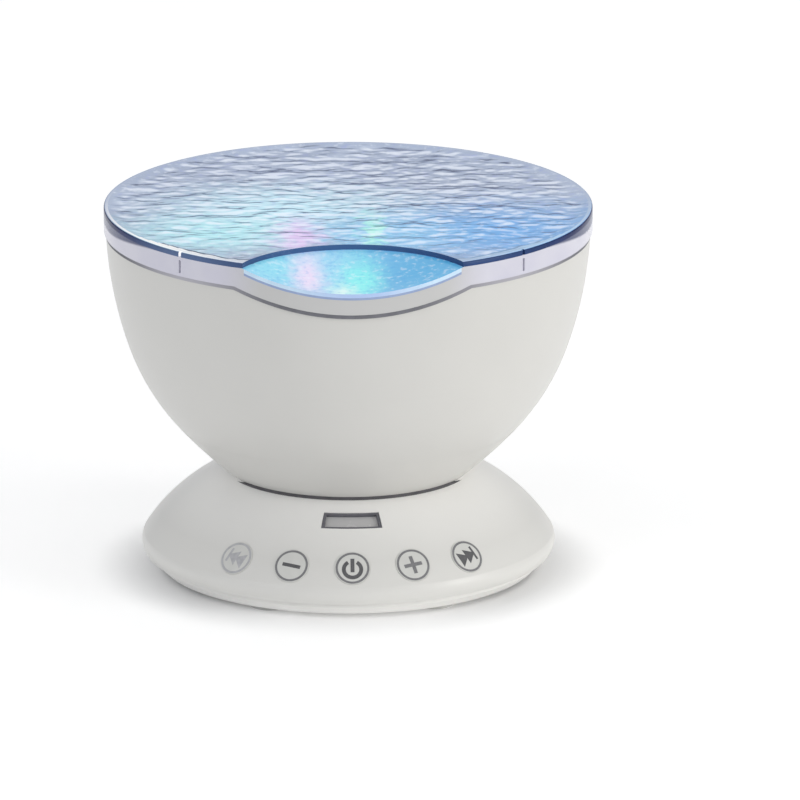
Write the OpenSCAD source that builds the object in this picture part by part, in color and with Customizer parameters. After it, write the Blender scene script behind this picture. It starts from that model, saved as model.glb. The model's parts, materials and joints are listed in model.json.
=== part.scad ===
// Ocean wave projector: a bowl of coloured lights under a clear rippled cover, tilting in a
// round base with five keys. The front is -Y, the floor is z = 0 and the bowl's axis is Z.

/* [Bowl] */
// Outer radius of the bowl's ball
bowl_r = 71.6; // [68:0.1:76]
// Wall of the bowl
bowl_wall = 2.2; // [1.6:0.1:3]
// Height of the bowl's underside above the floor
bowl_floor_z = 23.4; // [22.5:0.1:26]
// Angle below the ball's middle where the bowl begins to flare
flare_angle = 19.4; // [14:0.1:24]
// Height of the bowl's edge above the ball's middle
edge_h = 12.4; // [10:0.1:15]
// How far the bowl's edge flares out past the ball
edge_out = 2.8; // [2:0.1:4]
// Half width of the dip in the bowl's edge at the front
dip_half_w = 36; // [30:0.5:42]
// Depth of the dip in the bowl's edge at the front
dip_depth = 6.9; // [5:0.1:8]

/* [Rim and cover] */
// Height of the translucent rim ring above the bowl's edge
ring_h = 6; // [5:0.1:8]
// How far the rim ring stands out past the bowl's edge
ring_out = 0.6; // [0.3:0.1:1]
// Thickness of the rim ring's spigot
spigot_t = 1.5; // [1.2:0.1:2]
// Depth of the rim ring's spigot in the bowl
spigot_depth = 9; // [8:0.5:11]
// Width of the slits in the rim ring
slit_w = 0.8; // [0.5:0.1:1.5]
// Depth of the slits in the rim ring
slit_depth = 1; // [0.6:0.1:1.5]
// Angle of the slits from the front
slit_angle = 44; // [40:1:60]
// Thickness of the clear cover
cover_t = 1.6; // [1.2:0.1:2.4]
// Chamfer of the cover's outer edge
cover_edge = 0.5; // [0.2:0.1:0.8]
// Radius of the bite in the cover at the front
bite_r = 37.3; // [33:0.1:40]
// How far the bite reaches in from the rim
bite_depth = 28.5; // [24:0.1:31]
// Fall of the scoop from the bite's edge to the rim
scoop_fall = 6.2; // [5:0.1:7]
// Thickness of the scoop
scoop_t = 1.8; // [1.4:0.1:2.2]
// Land of the scoop under the cover
scoop_land = 2; // [1.5:0.1:3]
// Depth of the cover's locating lip
lip_depth = 3; // [2:0.1:4]

/* [Drive] */
// Height of the light carrier above the bowl's inner floor
carrier_h = 32.4; // [31.5:0.1:35]
// Thickness of the light carrier
carrier_t = 2.5; // [2:0.1:3]
// Gap between the light carrier and the bowl's wall
carrier_gap = 1.7; // [1:0.1:2.5]
// Distance of the carrier's posts from the axis
post_ring_r = 48; // [46:0.5:50]
// Radius of the carrier's posts
post_r = 4; // [3.5:0.1:4.5]
// Thread radius of the carrier's screws
carrier_screw_r = 1.4; // [1.2:0.1:1.6]
// Depth of the gearbox below the carrier
gearbox_h = 12; // [11.8:0.1:13]
// Wall of the gearbox
gearbox_wall = 1.5; // [1.2:0.1:2]
// Module of the gears
gear_m = 0.7; // [0.65:0.05:0.75]
// Teeth of the large gears
wheel_teeth = 40; // [36:1:42]
// Teeth of the pinions
pinion_teeth = 12; // [12:1:14]
// Width of the large gears
gear_w = 3; // [2.5:0.1:3.2]
// Radius of the wave disc's shaft
shaft_r = 2; // [1.8:0.1:2.2]
// Radius of the idler's axle
axle_r = 1.5; // [1.2:0.1:1.7]
// Direction of the motor from the idler
motor_angle = 150; // [145:1:155]
// Radius of the motor can
motor_r = 10; // [8:0.1:11]
// Length of the motor can
motor_len = 14; // [11:0.1:14.5]
// Radius of the motor's shaft
motor_shaft_r = 1; // [0.8:0.1:1.2]
// Radius of the wave disc
disc_r = 62; // [56:0.5:65]
// Thickness of the wave disc
disc_t = 2; // [1.5:0.1:3]
// Height of the wave disc above the ball's middle
disc_h = 5; // [2:0.1:6]
// Radius of the hub's boss through the wave disc
hub_r = 4; // [3.5:0.1:5]

/* [Lights] */
// Outer radius of the light board
led_board_r = 40; // [36:0.5:42]
// Thickness of the boards
board_t = 1.6; // [1.2:0.1:2]
// Radius of the ring of lights
led_ring_r = 30; // [24:0.5:33]
// Radius of a light
led_r = 2.5; // [1.5:0.1:3]
// Height of a light up to its dome
led_h = 5; // [3:0.1:7]
// Lights of each colour
led_count = 4; // [3:1:5]

/* [Base] */
// Greatest radius of the base
base_r = 63.7; // [62:0.1:66]
// Wall of the base
base_wall = 2.2; // [1.8:0.1:2.6]
// Radius of the dome's profile
dome_r = 53.5; // [52:0.1:55]
// Radius of the roll at the foot of the dome
roll_r = 5; // [4.6:0.1:5.6]
// Height of the roll's middle
roll_z = 8.9; // [8.5:0.1:9.5]
// Slope at which the roll turns into the dome
roll_angle = 33; // [31:0.1:35]
// Angle of the faint crease where the roll meets the dome
crease_angle = 6; // [4:0.5:8]
// Height of the skirt's lower edge
skirt_z = 5.6; // [5.3:0.1:5.9]
// Wall of the cup that the bowl sits in
cup_wall = 2.4; // [2:0.1:2.8]
// Gap between the bowl and its cup
seat_gap = 0.3; // [0.2:0.05:0.5]
// Depth of the land below the point where dome and bowl would meet
land_drop = 0.4; // [0.3:0.1:0.8]
// Radius of the base plate
plate_r = 60.5; // [60:0.1:61.5]
// Thickness of the base plate
plate_t = 2.4; // [2:0.1:2.8]
// Chamfer of the base plate's lower edge
plate_edge = 2.5; // [1:0.1:3]
// Height of the base plate's spigot in the skirt
plate_spigot_h = 1.2; // [0.8:0.1:1.5]
// Height that the feet raise the base plate
foot_h = 1.5; // [1.3:0.1:1.8]
// Radius of a foot
foot_r = 6; // [5:0.1:7]
// Depth of a foot's recess in the base plate
foot_recess = 0.6; // [0.4:0.1:0.8]
// Distance of the feet from the axis
foot_ring_r = 50; // [46:0.5:50.5]
// Angle of the feet from the front and the back
foot_angle = 30; // [25:1:32]
// Distance of the base screws from the axis
screw_ring_r = 46.7; // [45:0.1:47.5]
// Angle of the base screws from the front and the back
screw_angle = 52; // [51:0.5:55]
// Thread radius of the base screws
screw_r = 1.25; // [1:0.05:1.4]
// Radius of the base screws' posts
screw_post_r = 3.5; // [3:0.1:4]

/* [Tilt] */
// Greatest tilt of the bowl forwards or backwards
tilt_max = 20; // [15:1:21]
// Radius of the hollow stem
stem_r = 3.5; // [3:0.1:3.6]
// Radius of the wire bore through the stem
stem_bore_r = 1.8; // [1.4:0.1:2]
// Gap between the stem and its slot
slot_gap = 0.5; // [0.3:0.1:0.6]
// Width of a rail under the cup
rail_w = 2.5; // [2:0.1:3]
// Height of the rails below the cup
rail_h = 2.2; // [1.8:0.1:2.6]
// Thickness of the pressure plate
pressure_t = 1.9; // [1.5:0.1:2.1]
// Half angle of the pressure plate
pressure_half = 8; // [7:0.5:9]
// Height of the stack of disc springs
spring_h = 2.4; // [2:0.1:2.6]
// Thickness of the stem's nut
nut_t = 3; // [2.5:0.1:3]

/* [Keys and window] */
// Angle of the keys up the dome's profile
key_angle = 39.9; // [39:0.1:41]
// Angle between neighbouring keys
key_step = 18.2; // [17.6:0.1:18.8]
// Radius of a key
key_r = 5.4; // [5:0.1:5.5]
// Gap around a key
key_gap = 0.25; // [0.2:0.05:0.35]
// Height of a key above the dome
key_proud = 0.2; // [0.1:0.05:0.6]
// Travel of a key
key_travel = 0.5; // [0.3:0.05:0.6]
// Depth of a key's flange under the dome
flange_depth = 3.2; // [3:0.1:3.4]
// Thickness of a key's flange
flange_t = 1.2; // [0.8:0.1:1.4]
// Depth of a key's foot under the dome
key_foot = 6; // [5.6:0.1:6.2]
// Radius of a switch
switch_r = 3; // [2.5:0.1:3.2]
// Height of a switch
switch_h = 1.6; // [1.2:0.1:1.8]
// Width of the window above the keys
window_w = 17.8; // [14:0.1:20]
// Height of the window above the keys
window_h = 6.6; // [5:0.1:7]
// Depth of the window's face below the dome
window_recess = 1.2; // [0.8:0.1:1.5]
// Angle of the window up the dome's profile
window_angle = 58.4; // [57.5:0.1:59]

/* [Sound and sockets] */
// Radius of the speaker
speaker_r = 18; // [16:0.1:19]
// Distance of the speaker from the axis
speaker_x = 33; // [32:0.1:34]
// Height of the speaker's basket
speaker_h = 7; // [6:0.1:9]
// Thickness of the speaker's magnet
magnet_t = 5; // [4:0.1:6]
// Half width of the main board
board_half_w = 17; // [16:0.1:18]
// Length of the main board, from front to back
board_len = 33; // [29:0.1:35]
// Distance of the main board's back edge from the base's greatest radius
board_inset = 8.7; // [8.2:0.1:9.7]
// Height of the main board's standoffs
standoff_h = 3.5; // [3.2:0.1:4]
// Sideways place of the sound socket, and of the power socket on the other side
socket_x = 10; // [9:0.1:11]
// Radius of the sound socket's bore
jack_bore_r = 1.8; // [1.75:0.01:1.85]
// Depth of the sound socket's bore
jack_depth = 14; // [12:0.1:14.5]
// Radius of the sound socket's barrel
jack_r = 2.9; // [2.6:0.1:3]
// Width of the power socket
usb_w = 7.6; // [7:0.1:8]
// Height of the power socket
usb_h = 2.8; // [2.4:0.1:3.2]
// Wall of the power socket's shell
usb_wall = 0.4; // [0.3:0.05:0.5]

/* [Clearances] */
// Radial clearance of a turning fit
run_gap = 0.05; // [0.02:0.01:0.08]
// Clearance of a fixed fit
fit_gap = 0.1; // [0.05:0.01:0.15]
// Gap between pieces that pass each other
pass_gap = 0.3; // [0.25:0.05:0.4]

/* [Hidden] */
$fn = 96;
// Longer than any cut has to reach
far = 300;

// Bowl and rim
ball_z = bowl_floor_z + bowl_r;
edge_r = bowl_r + edge_out;
edge_z = ball_z + edge_h;
flare_start = [bowl_r * cos(flare_angle), ball_z - bowl_r * sin(flare_angle)];
flare_normal = [cos(flare_angle), -sin(flare_angle)];
flare_chord = [edge_r, edge_z] - flare_start;
flare_r = -(flare_chord * flare_chord) / (2 * flare_chord * flare_normal);
flare_centre = flare_start - flare_r * flare_normal;
dip_r = (dip_half_w ^ 2 + dip_depth ^ 2) / (2 * dip_depth);
dip_z = edge_z - dip_depth + dip_r;
rim_r = edge_r + ring_out;
ring_top = edge_z + ring_h;
cover_top = ring_top + cover_t;
spigot_foot = edge_z - spigot_depth;
spigot_r = flare_centre.x + sqrt((flare_r - bowl_wall) ^ 2 - (flare_centre.y - spigot_foot) ^ 2) - pass_gap;
spigot_in = spigot_r - spigot_t;
bite_y = -(rim_r - bite_depth + bite_r);
bite_to_rim = -bite_y - rim_r;
scoop_rise = (bite_r ^ 2 - bite_to_rim ^ 2 - scoop_fall ^ 2) / (2 * scoop_fall);
scoop_r = sqrt(scoop_rise ^ 2 + bite_r ^ 2);
scoop_z = ring_top + scoop_rise;

// Drive, from the light carrier downwards
carrier_z = bowl_floor_z + bowl_wall + carrier_h;
carrier_top = carrier_z + carrier_t;
carrier_r = sqrt((bowl_r - bowl_wall) ^ 2 - (ball_z - carrier_z) ^ 2) - carrier_gap;
case_z = carrier_z - gearbox_h;
case_floor = case_z + gearbox_wall;
wheel_pitch_r = gear_m * wheel_teeth / 2;
pinion_pitch_r = gear_m * pinion_teeth / 2;
gear_spread = wheel_pitch_r + pinion_pitch_r;
pressure_angle = 25;
addendum = 0.9 * gear_m;
dedendum = 1.15 * gear_m;
backlash = 0.14 * gear_m;
wheel_tip_r = wheel_pitch_r + addendum;
flank_steps = 4;
shaft_seat_h = 1.2;
wheel_z = case_floor + shaft_seat_h + pass_gap;
output_z = wheel_z + gear_w + 3 * pass_gap;
boss_r = shaft_r + 1.2;
idler_x = gear_spread;
motor_pos = [idler_x + gear_spread * cos(motor_angle), gear_spread * sin(motor_angle)];
motor_nose_r = motor_shaft_r + 2;
motor_cap_t = 3;
disc_z = ball_z + disc_h;
hub_flange_w = 4;
hub_flange_r = hub_r + hub_flange_w;
hub_h = 4;
hub_cap_h = 1.2;
bush_r = shaft_r + 2;
bush_flange_r = bush_r + 1.2;
bush_flange_t = 1;
board_hole_r = bush_flange_r + 0.8;
screw_head_h = 2;
carrier_screw_len = 8;

// Base profile
roll_x = base_r - roll_r;
dome_x = roll_x + roll_r * cos(roll_angle - crease_angle) - dome_r * cos(roll_angle);
dome_z = roll_z + roll_r * sin(roll_angle - crease_angle) - dome_r * sin(roll_angle);
seat_r = bowl_r + seat_gap;
cup_r = seat_r + cup_wall;
dome_to_ball = norm([dome_x, ball_z - dome_z]);
ball_way = [-dome_x, ball_z - dome_z] / dome_to_ball;
meet_along = (dome_r ^ 2 - seat_r ^ 2 + dome_to_ball ^ 2) / (2 * dome_to_ball);
meet_aside = sqrt(dome_r ^ 2 - meet_along ^ 2);
land_z = dome_z + meet_along * ball_way.y - meet_aside * ball_way.x - land_drop;
plate_floor = foot_h + plate_t;
spigot_ring_r = roll_x - pass_gap;
spigot_ring_t = 1.4;
screw_head_r = screw_r + 1.6;
base_screw_len = 9;
base_screw_head = 1.2;

// Tilt, as radii about the ball's middle
slot_half = stem_r + slot_gap;
slot_end = tilt_max + slot_half / seat_r * 180 / PI;
rail_in = slot_half + 1;
rail_r = cup_r + rail_h;
pressure_in = rail_r + pass_gap;
pressure_out = pressure_in + pressure_t;
spring_out = pressure_out + spring_h;
nut_out = spring_out + nut_t;
nut_r = stem_r + 2;
stem_flange_w = 3.5;
stem_flange_r = stem_r + stem_flange_w;
stem_flange_t = 2;
stem_boss_r = stem_flange_r + 1;
stem_boss_h = 2.9;
stem_boss_top = bowl_floor_z + bowl_wall + stem_boss_h;

// Keys, as depths under the dome
key_flange_r = key_r + 0.9;
key_stem_r = 2;
switch_top = key_foot + key_travel + fit_gap;
strip_depth = switch_top + switch_h;
strip_half_w = 5;
strip_end = 4.6;
strip_half = 2 * key_step + strip_end;
strip_boss_r = 1.6;
window_half_angle = window_h / dome_r * 90 / PI;
window_r = dome_x + dome_r * cos(window_angle);
window_half = asin(window_w / (2 * window_r));
window_back_t = 1.2;
window_land = 1.6;
receiver_size = [7, 5, 4];

// Main board and sockets
board_back = base_r - board_inset;
board_front = board_back - board_len;
board_z = plate_floor + standoff_h;
board_top = board_z + board_t;
standoff_r = 2.5;
standoff_in = 4;
jack_z = board_top + jack_r;
jack_end = sqrt(roll_reach(jack_z) ^ 2 - (socket_x + jack_r) ^ 2);
jack_neck = roll_r + base_wall;
jack_back = 1;
usb_end = sqrt(roll_reach(board_top) ^ 2 - (socket_x + usb_w / 2) ^ 2) - pass_gap;
usb_seat = 4;
usb_back = board_back - usb_seat;

// Reach of the roll at height z
function roll_reach(z) = roll_x + sqrt(roll_r ^ 2 - (z - roll_z) ^ 2);
// Angle between an involute and its start, in degrees
function involute(angle) = tan(angle) * 180 / PI - angle;
// Half the angle of a tooth at radius rho
function tooth_half(teeth, rho) = let (pitch_r = gear_m * teeth / 2)
    90 / teeth - backlash / pitch_r * 90 / PI + involute(pressure_angle)
    - involute(acos(min(1, pitch_r * cos(pressure_angle) / rho)));
// Point at radius rho and an angle
function polar(rho, angle) = rho * [cos(angle), sin(angle)];
// Outline of a spur gear with a tooth on the X axis
function gear_points(teeth) = let (
        pitch_r = gear_m * teeth / 2,
        root_r = pitch_r - dedendum,
        start_r = max(root_r, pitch_r * cos(pressure_angle)),
        rise = (pitch_r + addendum - start_r) / flank_steps,
        foot_half = tooth_half(teeth, start_r),
        foot = root_r < start_r ? [root_r] : []
    ) [for (i = [0 : teeth - 1]) let (mid = i * 360 / teeth) each concat(
        [for (r = foot) polar(r, mid - foot_half)],
        [for (k = [0 : flank_steps]) let (r = start_r + k * rise) polar(r, mid - tooth_half(teeth, r))],
        [for (k = [flank_steps : -1 : 0]) let (r = start_r + k * rise) polar(r, mid + tooth_half(teeth, r))],
        [for (r = foot) polar(r, mid + foot_half)]
    )];

// Ring of square section about Z
module tube(r_in, r_out, low, high) {
    rotate_extrude() translate([r_in, low]) square([r_out - r_in, high - low]);
}

// Round bar along Z from one height to another
module bar(r, low, high) {
    translate([0, 0, low]) cylinder(r = r, h = high - low);
}

// Part of a ring about the tilt axis, centred straight below it
module swing_band(r_in, r_out, x_low, x_high, half) {
    translate([0, 0, ball_z]) rotate([0, 90, 0]) rotate(-half) rotate_extrude(angle = 2 * half)
        translate([r_in, x_low]) square([r_out - r_in, x_high - x_low]);
}

// Children placed on the dome with Z along its outward normal
module on_dome(azimuth, angle) {
    rotate(azimuth - 90) translate([dome_x + dome_r * cos(angle), 0, dome_z + dome_r * sin(angle)])
        rotate([0, 90 - angle, 0]) children();
}

// Half plane on the left of a line through a point
module half_plane(point, angle) {
    translate(point) rotate(angle) translate([-far, 0]) square([2 * far, far]);
}

// Copies at angles spread evenly about Z
module around(count, radius, first = 0) {
    for (i = [0 : count - 1]) rotate(first + i * 360 / count) translate([radius, 0, 0]) children();
}

// Copies at one radius, at an angle to either side of the front and of the back
module at_corners(radius, angle) {
    for (side = [-1, 1], end = [-1, 1])
        translate([side * radius * sin(angle), end * radius * cos(angle), 0]) children();
}

// Half section of the solid bowl, moved inwards
module bowl_outline(inset, top) {
    intersection() {
        union() {
            intersection() {
                translate([0, ball_z]) circle(bowl_r - inset);
                half_plane([0, ball_z], 180 - flare_angle);
            }
            intersection() {
                translate(flare_centre) circle(flare_r - inset);
                half_plane([0, ball_z], -flare_angle);
            }
            translate([0, ball_z]) circle(bowl_r - inset - bowl_wall / 4);
        }
        square([far, top]);
    }
}

// Half section of the solid base, moved inwards
module base_outline(inset, low) {
    crease = [dome_x, dome_z] + polar(dome_r - inset, roll_angle);
    roll = crease - polar(roll_r - inset, roll_angle - crease_angle);
    intersection() {
        union() {
            intersection() {
                translate([dome_x, dome_z]) circle(dome_r - inset);
                half_plane([dome_x, dome_z], roll_angle);
            }
            intersection() {
                translate(roll) circle(roll_r - inset);
                half_plane([dome_x, dome_z], 180 + roll_angle);
            }
            polygon([[dome_x, dome_z], [roll.x, dome_z], roll]);
        }
        translate([0, low]) square(far);
    }
}

// Cylinder through the front half that dips the bowl's edge
module front_dip(r) {
    translate([0, 0, dip_z]) rotate([90, 0, 0]) cylinder(r = r, h = far, $fn = 160);
}

// Ball of the scoop's surface within the bite
module scoop_ball(r, reach) {
    intersection() {
        translate([0, bite_y, scoop_z]) sphere(r, $fn = 160);
        translate([0, bite_y, spigot_foot]) cylinder(r = reach, h = cover_top - cover_edge / 2 - spigot_foot);
    }
}

module bowl_shell() color("whitesmoke") {
    difference() {
        union() {
            rotate_extrude() difference() {
                bowl_outline(0, edge_z);
                bowl_outline(bowl_wall, far);
            }
            intersection() {
                union() {
                    around(4, post_ring_r, 45) bar(post_r, bowl_floor_z, carrier_z);
                    bar(stem_boss_r, bowl_floor_z, stem_boss_top);
                }
                rotate_extrude() bowl_outline(bowl_wall / 2, far);
            }
        }
        front_dip(dip_r);
        bar(stem_r + fit_gap, 0, ball_z);
        around(4, post_ring_r, 45)
            bar(carrier_screw_r + run_gap, carrier_top - carrier_screw_len - fit_gap, far);
    }
}

module rim_ring() color("lavender") {
    difference() {
        union() {
            tube(spigot_in, rim_r, edge_z, ring_top);
            tube(spigot_in, spigot_r, spigot_foot, edge_z);
            intersection() {
                tube(spigot_in, rim_r, edge_z - dip_depth, edge_z);
                front_dip(dip_r - fit_gap);
            }
        }
        scoop_ball(scoop_r + scoop_t + fit_gap, bite_r + scoop_land + pass_gap);
        for (side = [-1, 1]) rotate(side * slit_angle - 90)
            translate([rim_r - slit_depth, -slit_w / 2, edge_z + ring_h / 6])
                cube([far, slit_w, ring_h * 2 / 3]);
    }
}

module wave_cover() color("lightsteelblue") {
    difference() {
        union() {
            rotate_extrude() polygon([
                [0, ring_top], [rim_r, ring_top], [rim_r, cover_top - cover_edge],
                [rim_r - cover_edge, cover_top], [0, cover_top]
            ]);
            tube(spigot_in - pass_gap - spigot_t, spigot_in - pass_gap, ring_top - lip_depth, ring_top);
        }
        translate([0, bite_y, 0]) cylinder(r = bite_r, h = far);
    }
    intersection() {
        difference() {
            scoop_ball(scoop_r + scoop_t, bite_r + scoop_land);
            translate([0, bite_y, scoop_z]) sphere(scoop_r, $fn = 160);
        }
        bar(rim_r, spigot_foot, cover_top);
    }
}

module wave_disc() color("powderblue") {
    tube(hub_r + fit_gap, disc_r, disc_z, disc_z + disc_t);
}

module disc_hub() color("gainsboro") {
    difference() {
        union() {
            bar(hub_flange_r, disc_z - hub_h, disc_z);
            bar(hub_r, disc_z, disc_z + disc_t + hub_cap_h);
        }
        bar(shaft_r + run_gap, 0, disc_z + disc_t);
    }
}

module disc_shaft() color("silver") {
    bar(shaft_r, case_z + gearbox_wall / 2 + fit_gap, disc_z + disc_t - fit_gap);
}

// Toothed blank of a spur gear, from one height up
module spur(teeth, low, width) {
    translate([0, 0, low]) linear_extrude(width) polygon(gear_points(teeth));
}

module output_gear() color("ivory") {
    difference() {
        union() {
            rotate(180 / wheel_teeth) spur(wheel_teeth, output_z, gear_w);
            bar(boss_r, output_z, carrier_z - pass_gap);
        }
        bar(shaft_r + run_gap, 0, far);
    }
}

module idler_gear() color("ivory") translate([idler_x, 0, 0]) {
    difference() {
        union() {
            rotate(motor_angle) spur(wheel_teeth, wheel_z, gear_w);
            rotate(180) spur(pinion_teeth, wheel_z, carrier_z - 2 * pass_gap - wheel_z);
            bar(axle_r + 1, case_floor + pass_gap, wheel_z + gear_w);
        }
        bar(axle_r + run_gap, 0, far);
    }
}

module idler_axle() color("silver") translate([idler_x, 0, 0]) {
    bar(axle_r, case_z, carrier_top - fit_gap);
}

module motor_can() color("lightgray") translate([motor_pos.x, motor_pos.y, 0]) {
    difference() {
        union() {
            bar(motor_r, case_z - motor_len, case_z);
            bar(motor_nose_r, case_z, case_floor - fit_gap);
        }
        bar(motor_shaft_r + run_gap, case_z - motor_len + motor_cap_t, far);
    }
}

module motor_shaft() color("silver") translate([motor_pos.x, motor_pos.y, 0]) {
    bar(motor_shaft_r, case_z - motor_len + motor_cap_t + fit_gap, wheel_z + gear_w + pass_gap);
}

module motor_pinion() color("ivory") translate([motor_pos.x, motor_pos.y, 0]) {
    difference() {
        rotate(motor_angle + 180 + 180 / pinion_teeth)
            spur(pinion_teeth, wheel_z - pass_gap, gear_w + 2 * pass_gap);
        bar(motor_shaft_r + run_gap, 0, far);
    }
}

module gearbox_case() color("dimgray") {
    inside = wheel_tip_r + 1;
    outside = inside + gearbox_wall;
    difference() {
        translate([-outside, -outside, case_z]) cube([idler_x + 2 * outside, 2 * outside, gearbox_h]);
        difference() {
            translate([-inside, -inside, case_floor]) cube([idler_x + 2 * inside, 2 * inside, far]);
            bar(boss_r, case_z, case_floor + shaft_seat_h);
        }
        bar(shaft_r + run_gap, case_z + gearbox_wall / 2, far);
        translate([idler_x, 0, 0]) bar(axle_r + fit_gap, 0, far);
        translate([motor_pos.x, motor_pos.y, 0]) bar(motor_nose_r + fit_gap, 0, far);
    }
}

module carrier_plate() color("gray") {
    difference() {
        bar(carrier_r, carrier_z, carrier_top);
        bar(bush_r + fit_gap, 0, far);
        translate([idler_x, 0, 0]) bar(axle_r + fit_gap, 0, far);
        around(4, post_ring_r, 45) bar(carrier_screw_r + fit_gap, 0, far);
    }
}

module shaft_bush() color("darkgoldenrod") {
    tube(shaft_r + run_gap, bush_r, carrier_z, carrier_top);
    tube(shaft_r + run_gap, bush_flange_r, carrier_top, carrier_top + bush_flange_t);
}

module carrier_screws() color("silver") {
    around(4, post_ring_r, 45) {
        bar(carrier_screw_r, carrier_top - carrier_screw_len, carrier_top);
        bar(2 * carrier_screw_r, carrier_top, carrier_top + screw_head_h);
    }
}

module led_board() color("darkgreen") {
    tube(board_hole_r, led_board_r, carrier_top, carrier_top + board_t);
}

// Every third light of the ring
module leds(first) {
    around(led_count, led_ring_r, first * 120 / led_count) translate([0, 0, carrier_top + board_t])
        rotate_extrude() {
            square([led_r, led_h]);
            translate([0, led_h]) intersection() {
                circle(led_r);
                square(led_r);
            }
        }
}

module red_leds() color("red") leds(0);

module green_leds() color("lime") leds(1);

module blue_leds() color("blue") leds(2);

module tilt_stem() color("silver") {
    difference() {
        union() {
            bar(stem_r, ball_z - nut_out - 1, stem_boss_top);
            bar(stem_flange_r, stem_boss_top, stem_boss_top + stem_flange_t);
        }
        bar(stem_bore_r, 0, far);
    }
}

module pressure_plate() color("gainsboro") {
    difference() {
        swing_band(pressure_in, pressure_out, -rail_in - rail_w, rail_in + rail_w, pressure_half);
        bar(stem_r + fit_gap, 0, ball_z);
    }
}

module tilt_spring() color("dimgray") {
    // Two cupped discs, back to back
    bottom = ball_z - spring_out;
    middle = bottom + spring_h / 2;
    top = ball_z - pressure_out;
    thick = spring_h / 4;
    for (faces = [[bottom, middle], [top, middle]])
        rotate_extrude() polygon([
            [stem_r + fit_gap, faces[0]], [stem_boss_r - 1, faces[1] - sign(faces[1] - faces[0]) * thick],
            [stem_boss_r - 1, faces[1]], [stem_r + fit_gap, faces[0] + sign(faces[1] - faces[0]) * thick]
        ]);
}

module tilt_nut() color("silver") {
    difference() {
        translate([0, 0, ball_z - nut_out]) cylinder(r = nut_r / cos(30), h = nut_t, $fn = 6);
        bar(stem_r + run_gap, 0, ball_z);
    }
}

module base_top() color("white") {
    difference() {
        union() {
            rotate_extrude() difference() {
                base_outline(0, skirt_z);
                translate([0, ball_z]) circle(seat_r);
                translate([0, land_z]) square(far);
                difference() {
                    base_outline(base_wall, 0);
                    translate([0, ball_z]) circle(cup_r);
                }
            }
            for (side = [-1, 1])
                swing_band(cup_r - cup_wall / 2, rail_r, side * (rail_in + rail_w / 2) - rail_w / 2,
                    side * (rail_in + rail_w / 2) + rail_w / 2, tilt_max + pressure_half + 1);
            intersection() {
                union() {
                    at_corners(screw_ring_r, screw_angle) bar(screw_post_r, plate_floor, ball_z);
                    for (i = [-1.5 : 1.5]) on_dome(i * key_step, key_angle)
                        bar(strip_boss_r, fit_gap / 2 - strip_depth, 0);
                }
                rotate_extrude() base_outline(base_wall / 2, 0);
            }
        }
        swing_band(seat_r - 1, rail_r + 1, -slot_half, slot_half, slot_end);
        for (i = [-2 : 2]) on_dome(i * key_step, key_angle) bar(key_r + key_gap, -2 * base_wall, far);
        rotate(-90 - window_half) rotate_extrude(angle = 2 * window_half) window_section(
            window_half_angle, dome_r - 2 * base_wall, dome_r + base_wall);
        translate([socket_x, 0, jack_z]) rotate([-90, 0, 0]) cylinder(r = jack_r + fit_gap, h = far);
        translate([-socket_x - usb_w / 2 - fit_gap, 0, board_top - fit_gap])
            cube([usb_w + 2 * fit_gap, far, usb_h + 2 * fit_gap]);
        at_corners(screw_ring_r, screw_angle) bar(screw_r + run_gap, 0, foot_h + base_screw_len + fit_gap);
    }
}

// Part of a ring about the dome's profile centre, at the window's height
module window_section(half, r_in, r_out) {
    translate([dome_x, dome_z]) intersection() {
        difference() {
            circle(r_out);
            circle(r_in);
        }
        half_plane([0, 0], window_angle - half);
        half_plane([0, 0], window_angle + half + 180);
        square(far);
    }
}

module base_plate() color("whitesmoke") {
    difference() {
        union() {
            rotate_extrude() polygon([
                [0, foot_h], [plate_r - plate_edge, foot_h], [plate_r, foot_h + plate_edge], [plate_r, skirt_z],
                [spigot_ring_r, skirt_z], [spigot_ring_r, skirt_z + plate_spigot_h],
                [spigot_ring_r - spigot_ring_t, skirt_z + plate_spigot_h],
                [spigot_ring_r - spigot_ring_t, plate_floor], [0, plate_floor]
            ]);
            for (side = [-1, 1], y = [board_front + standoff_in, board_back - 2 * standoff_in])
                translate([side * (board_half_w - standoff_in), y, 0]) bar(standoff_r, plate_floor - 1, board_z);
        }
        at_corners(foot_ring_r, foot_angle) bar(foot_r + fit_gap, 0, foot_h + foot_recess);
        at_corners(screw_ring_r, screw_angle) {
            bar(screw_r + fit_gap, 0, far);
            bar(screw_head_r + fit_gap, 0, foot_h + base_screw_head);
        }
        for (i = [-2 : 2]) translate([i * speaker_r / 3.5 - speaker_x, 0, 0])
            cube([speaker_r / 8, 1.2 * speaker_r, 3 * plate_floor], center = true);
    }
}

module feet() color("dimgray") {
    at_corners(foot_ring_r, foot_angle) bar(foot_r, 0, foot_h + foot_recess);
}

module base_screws() color("silver") {
    at_corners(screw_ring_r, screw_angle) {
        bar(screw_r, foot_h + base_screw_head, foot_h + base_screw_len);
        bar(screw_head_r, foot_h, foot_h + base_screw_head);
    }
}

module key_strip() color("darkgreen") {
    rotate(-90 - strip_half) rotate_extrude(angle = 2 * strip_half)
        translate([dome_x, dome_z]) rotate(key_angle)
            translate([dome_r - strip_depth - board_t, -strip_half_w]) square([board_t, 2 * strip_half_w]);
}

module key_switches() color("dimgray") {
    for (i = [-2 : 2]) on_dome(i * key_step, key_angle)
        bar(switch_r, fit_gap / 2 - strip_depth, -switch_top);
}

// Round push key with a flange inside the base and a foot over its switch
module push_key(place) color("whitesmoke") {
    intersection() {
        on_dome(place * key_step, key_angle) bar(key_r, -flange_depth - flange_t / 2, base_wall);
        rotate_extrude() base_outline(-key_proud, 0);
    }
    on_dome(place * key_step, key_angle) {
        bar(key_flange_r, -flange_depth - flange_t, -flange_depth);
        bar(key_stem_r, -key_foot, -flange_depth);
    }
}

module key_previous() push_key(-2);

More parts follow.
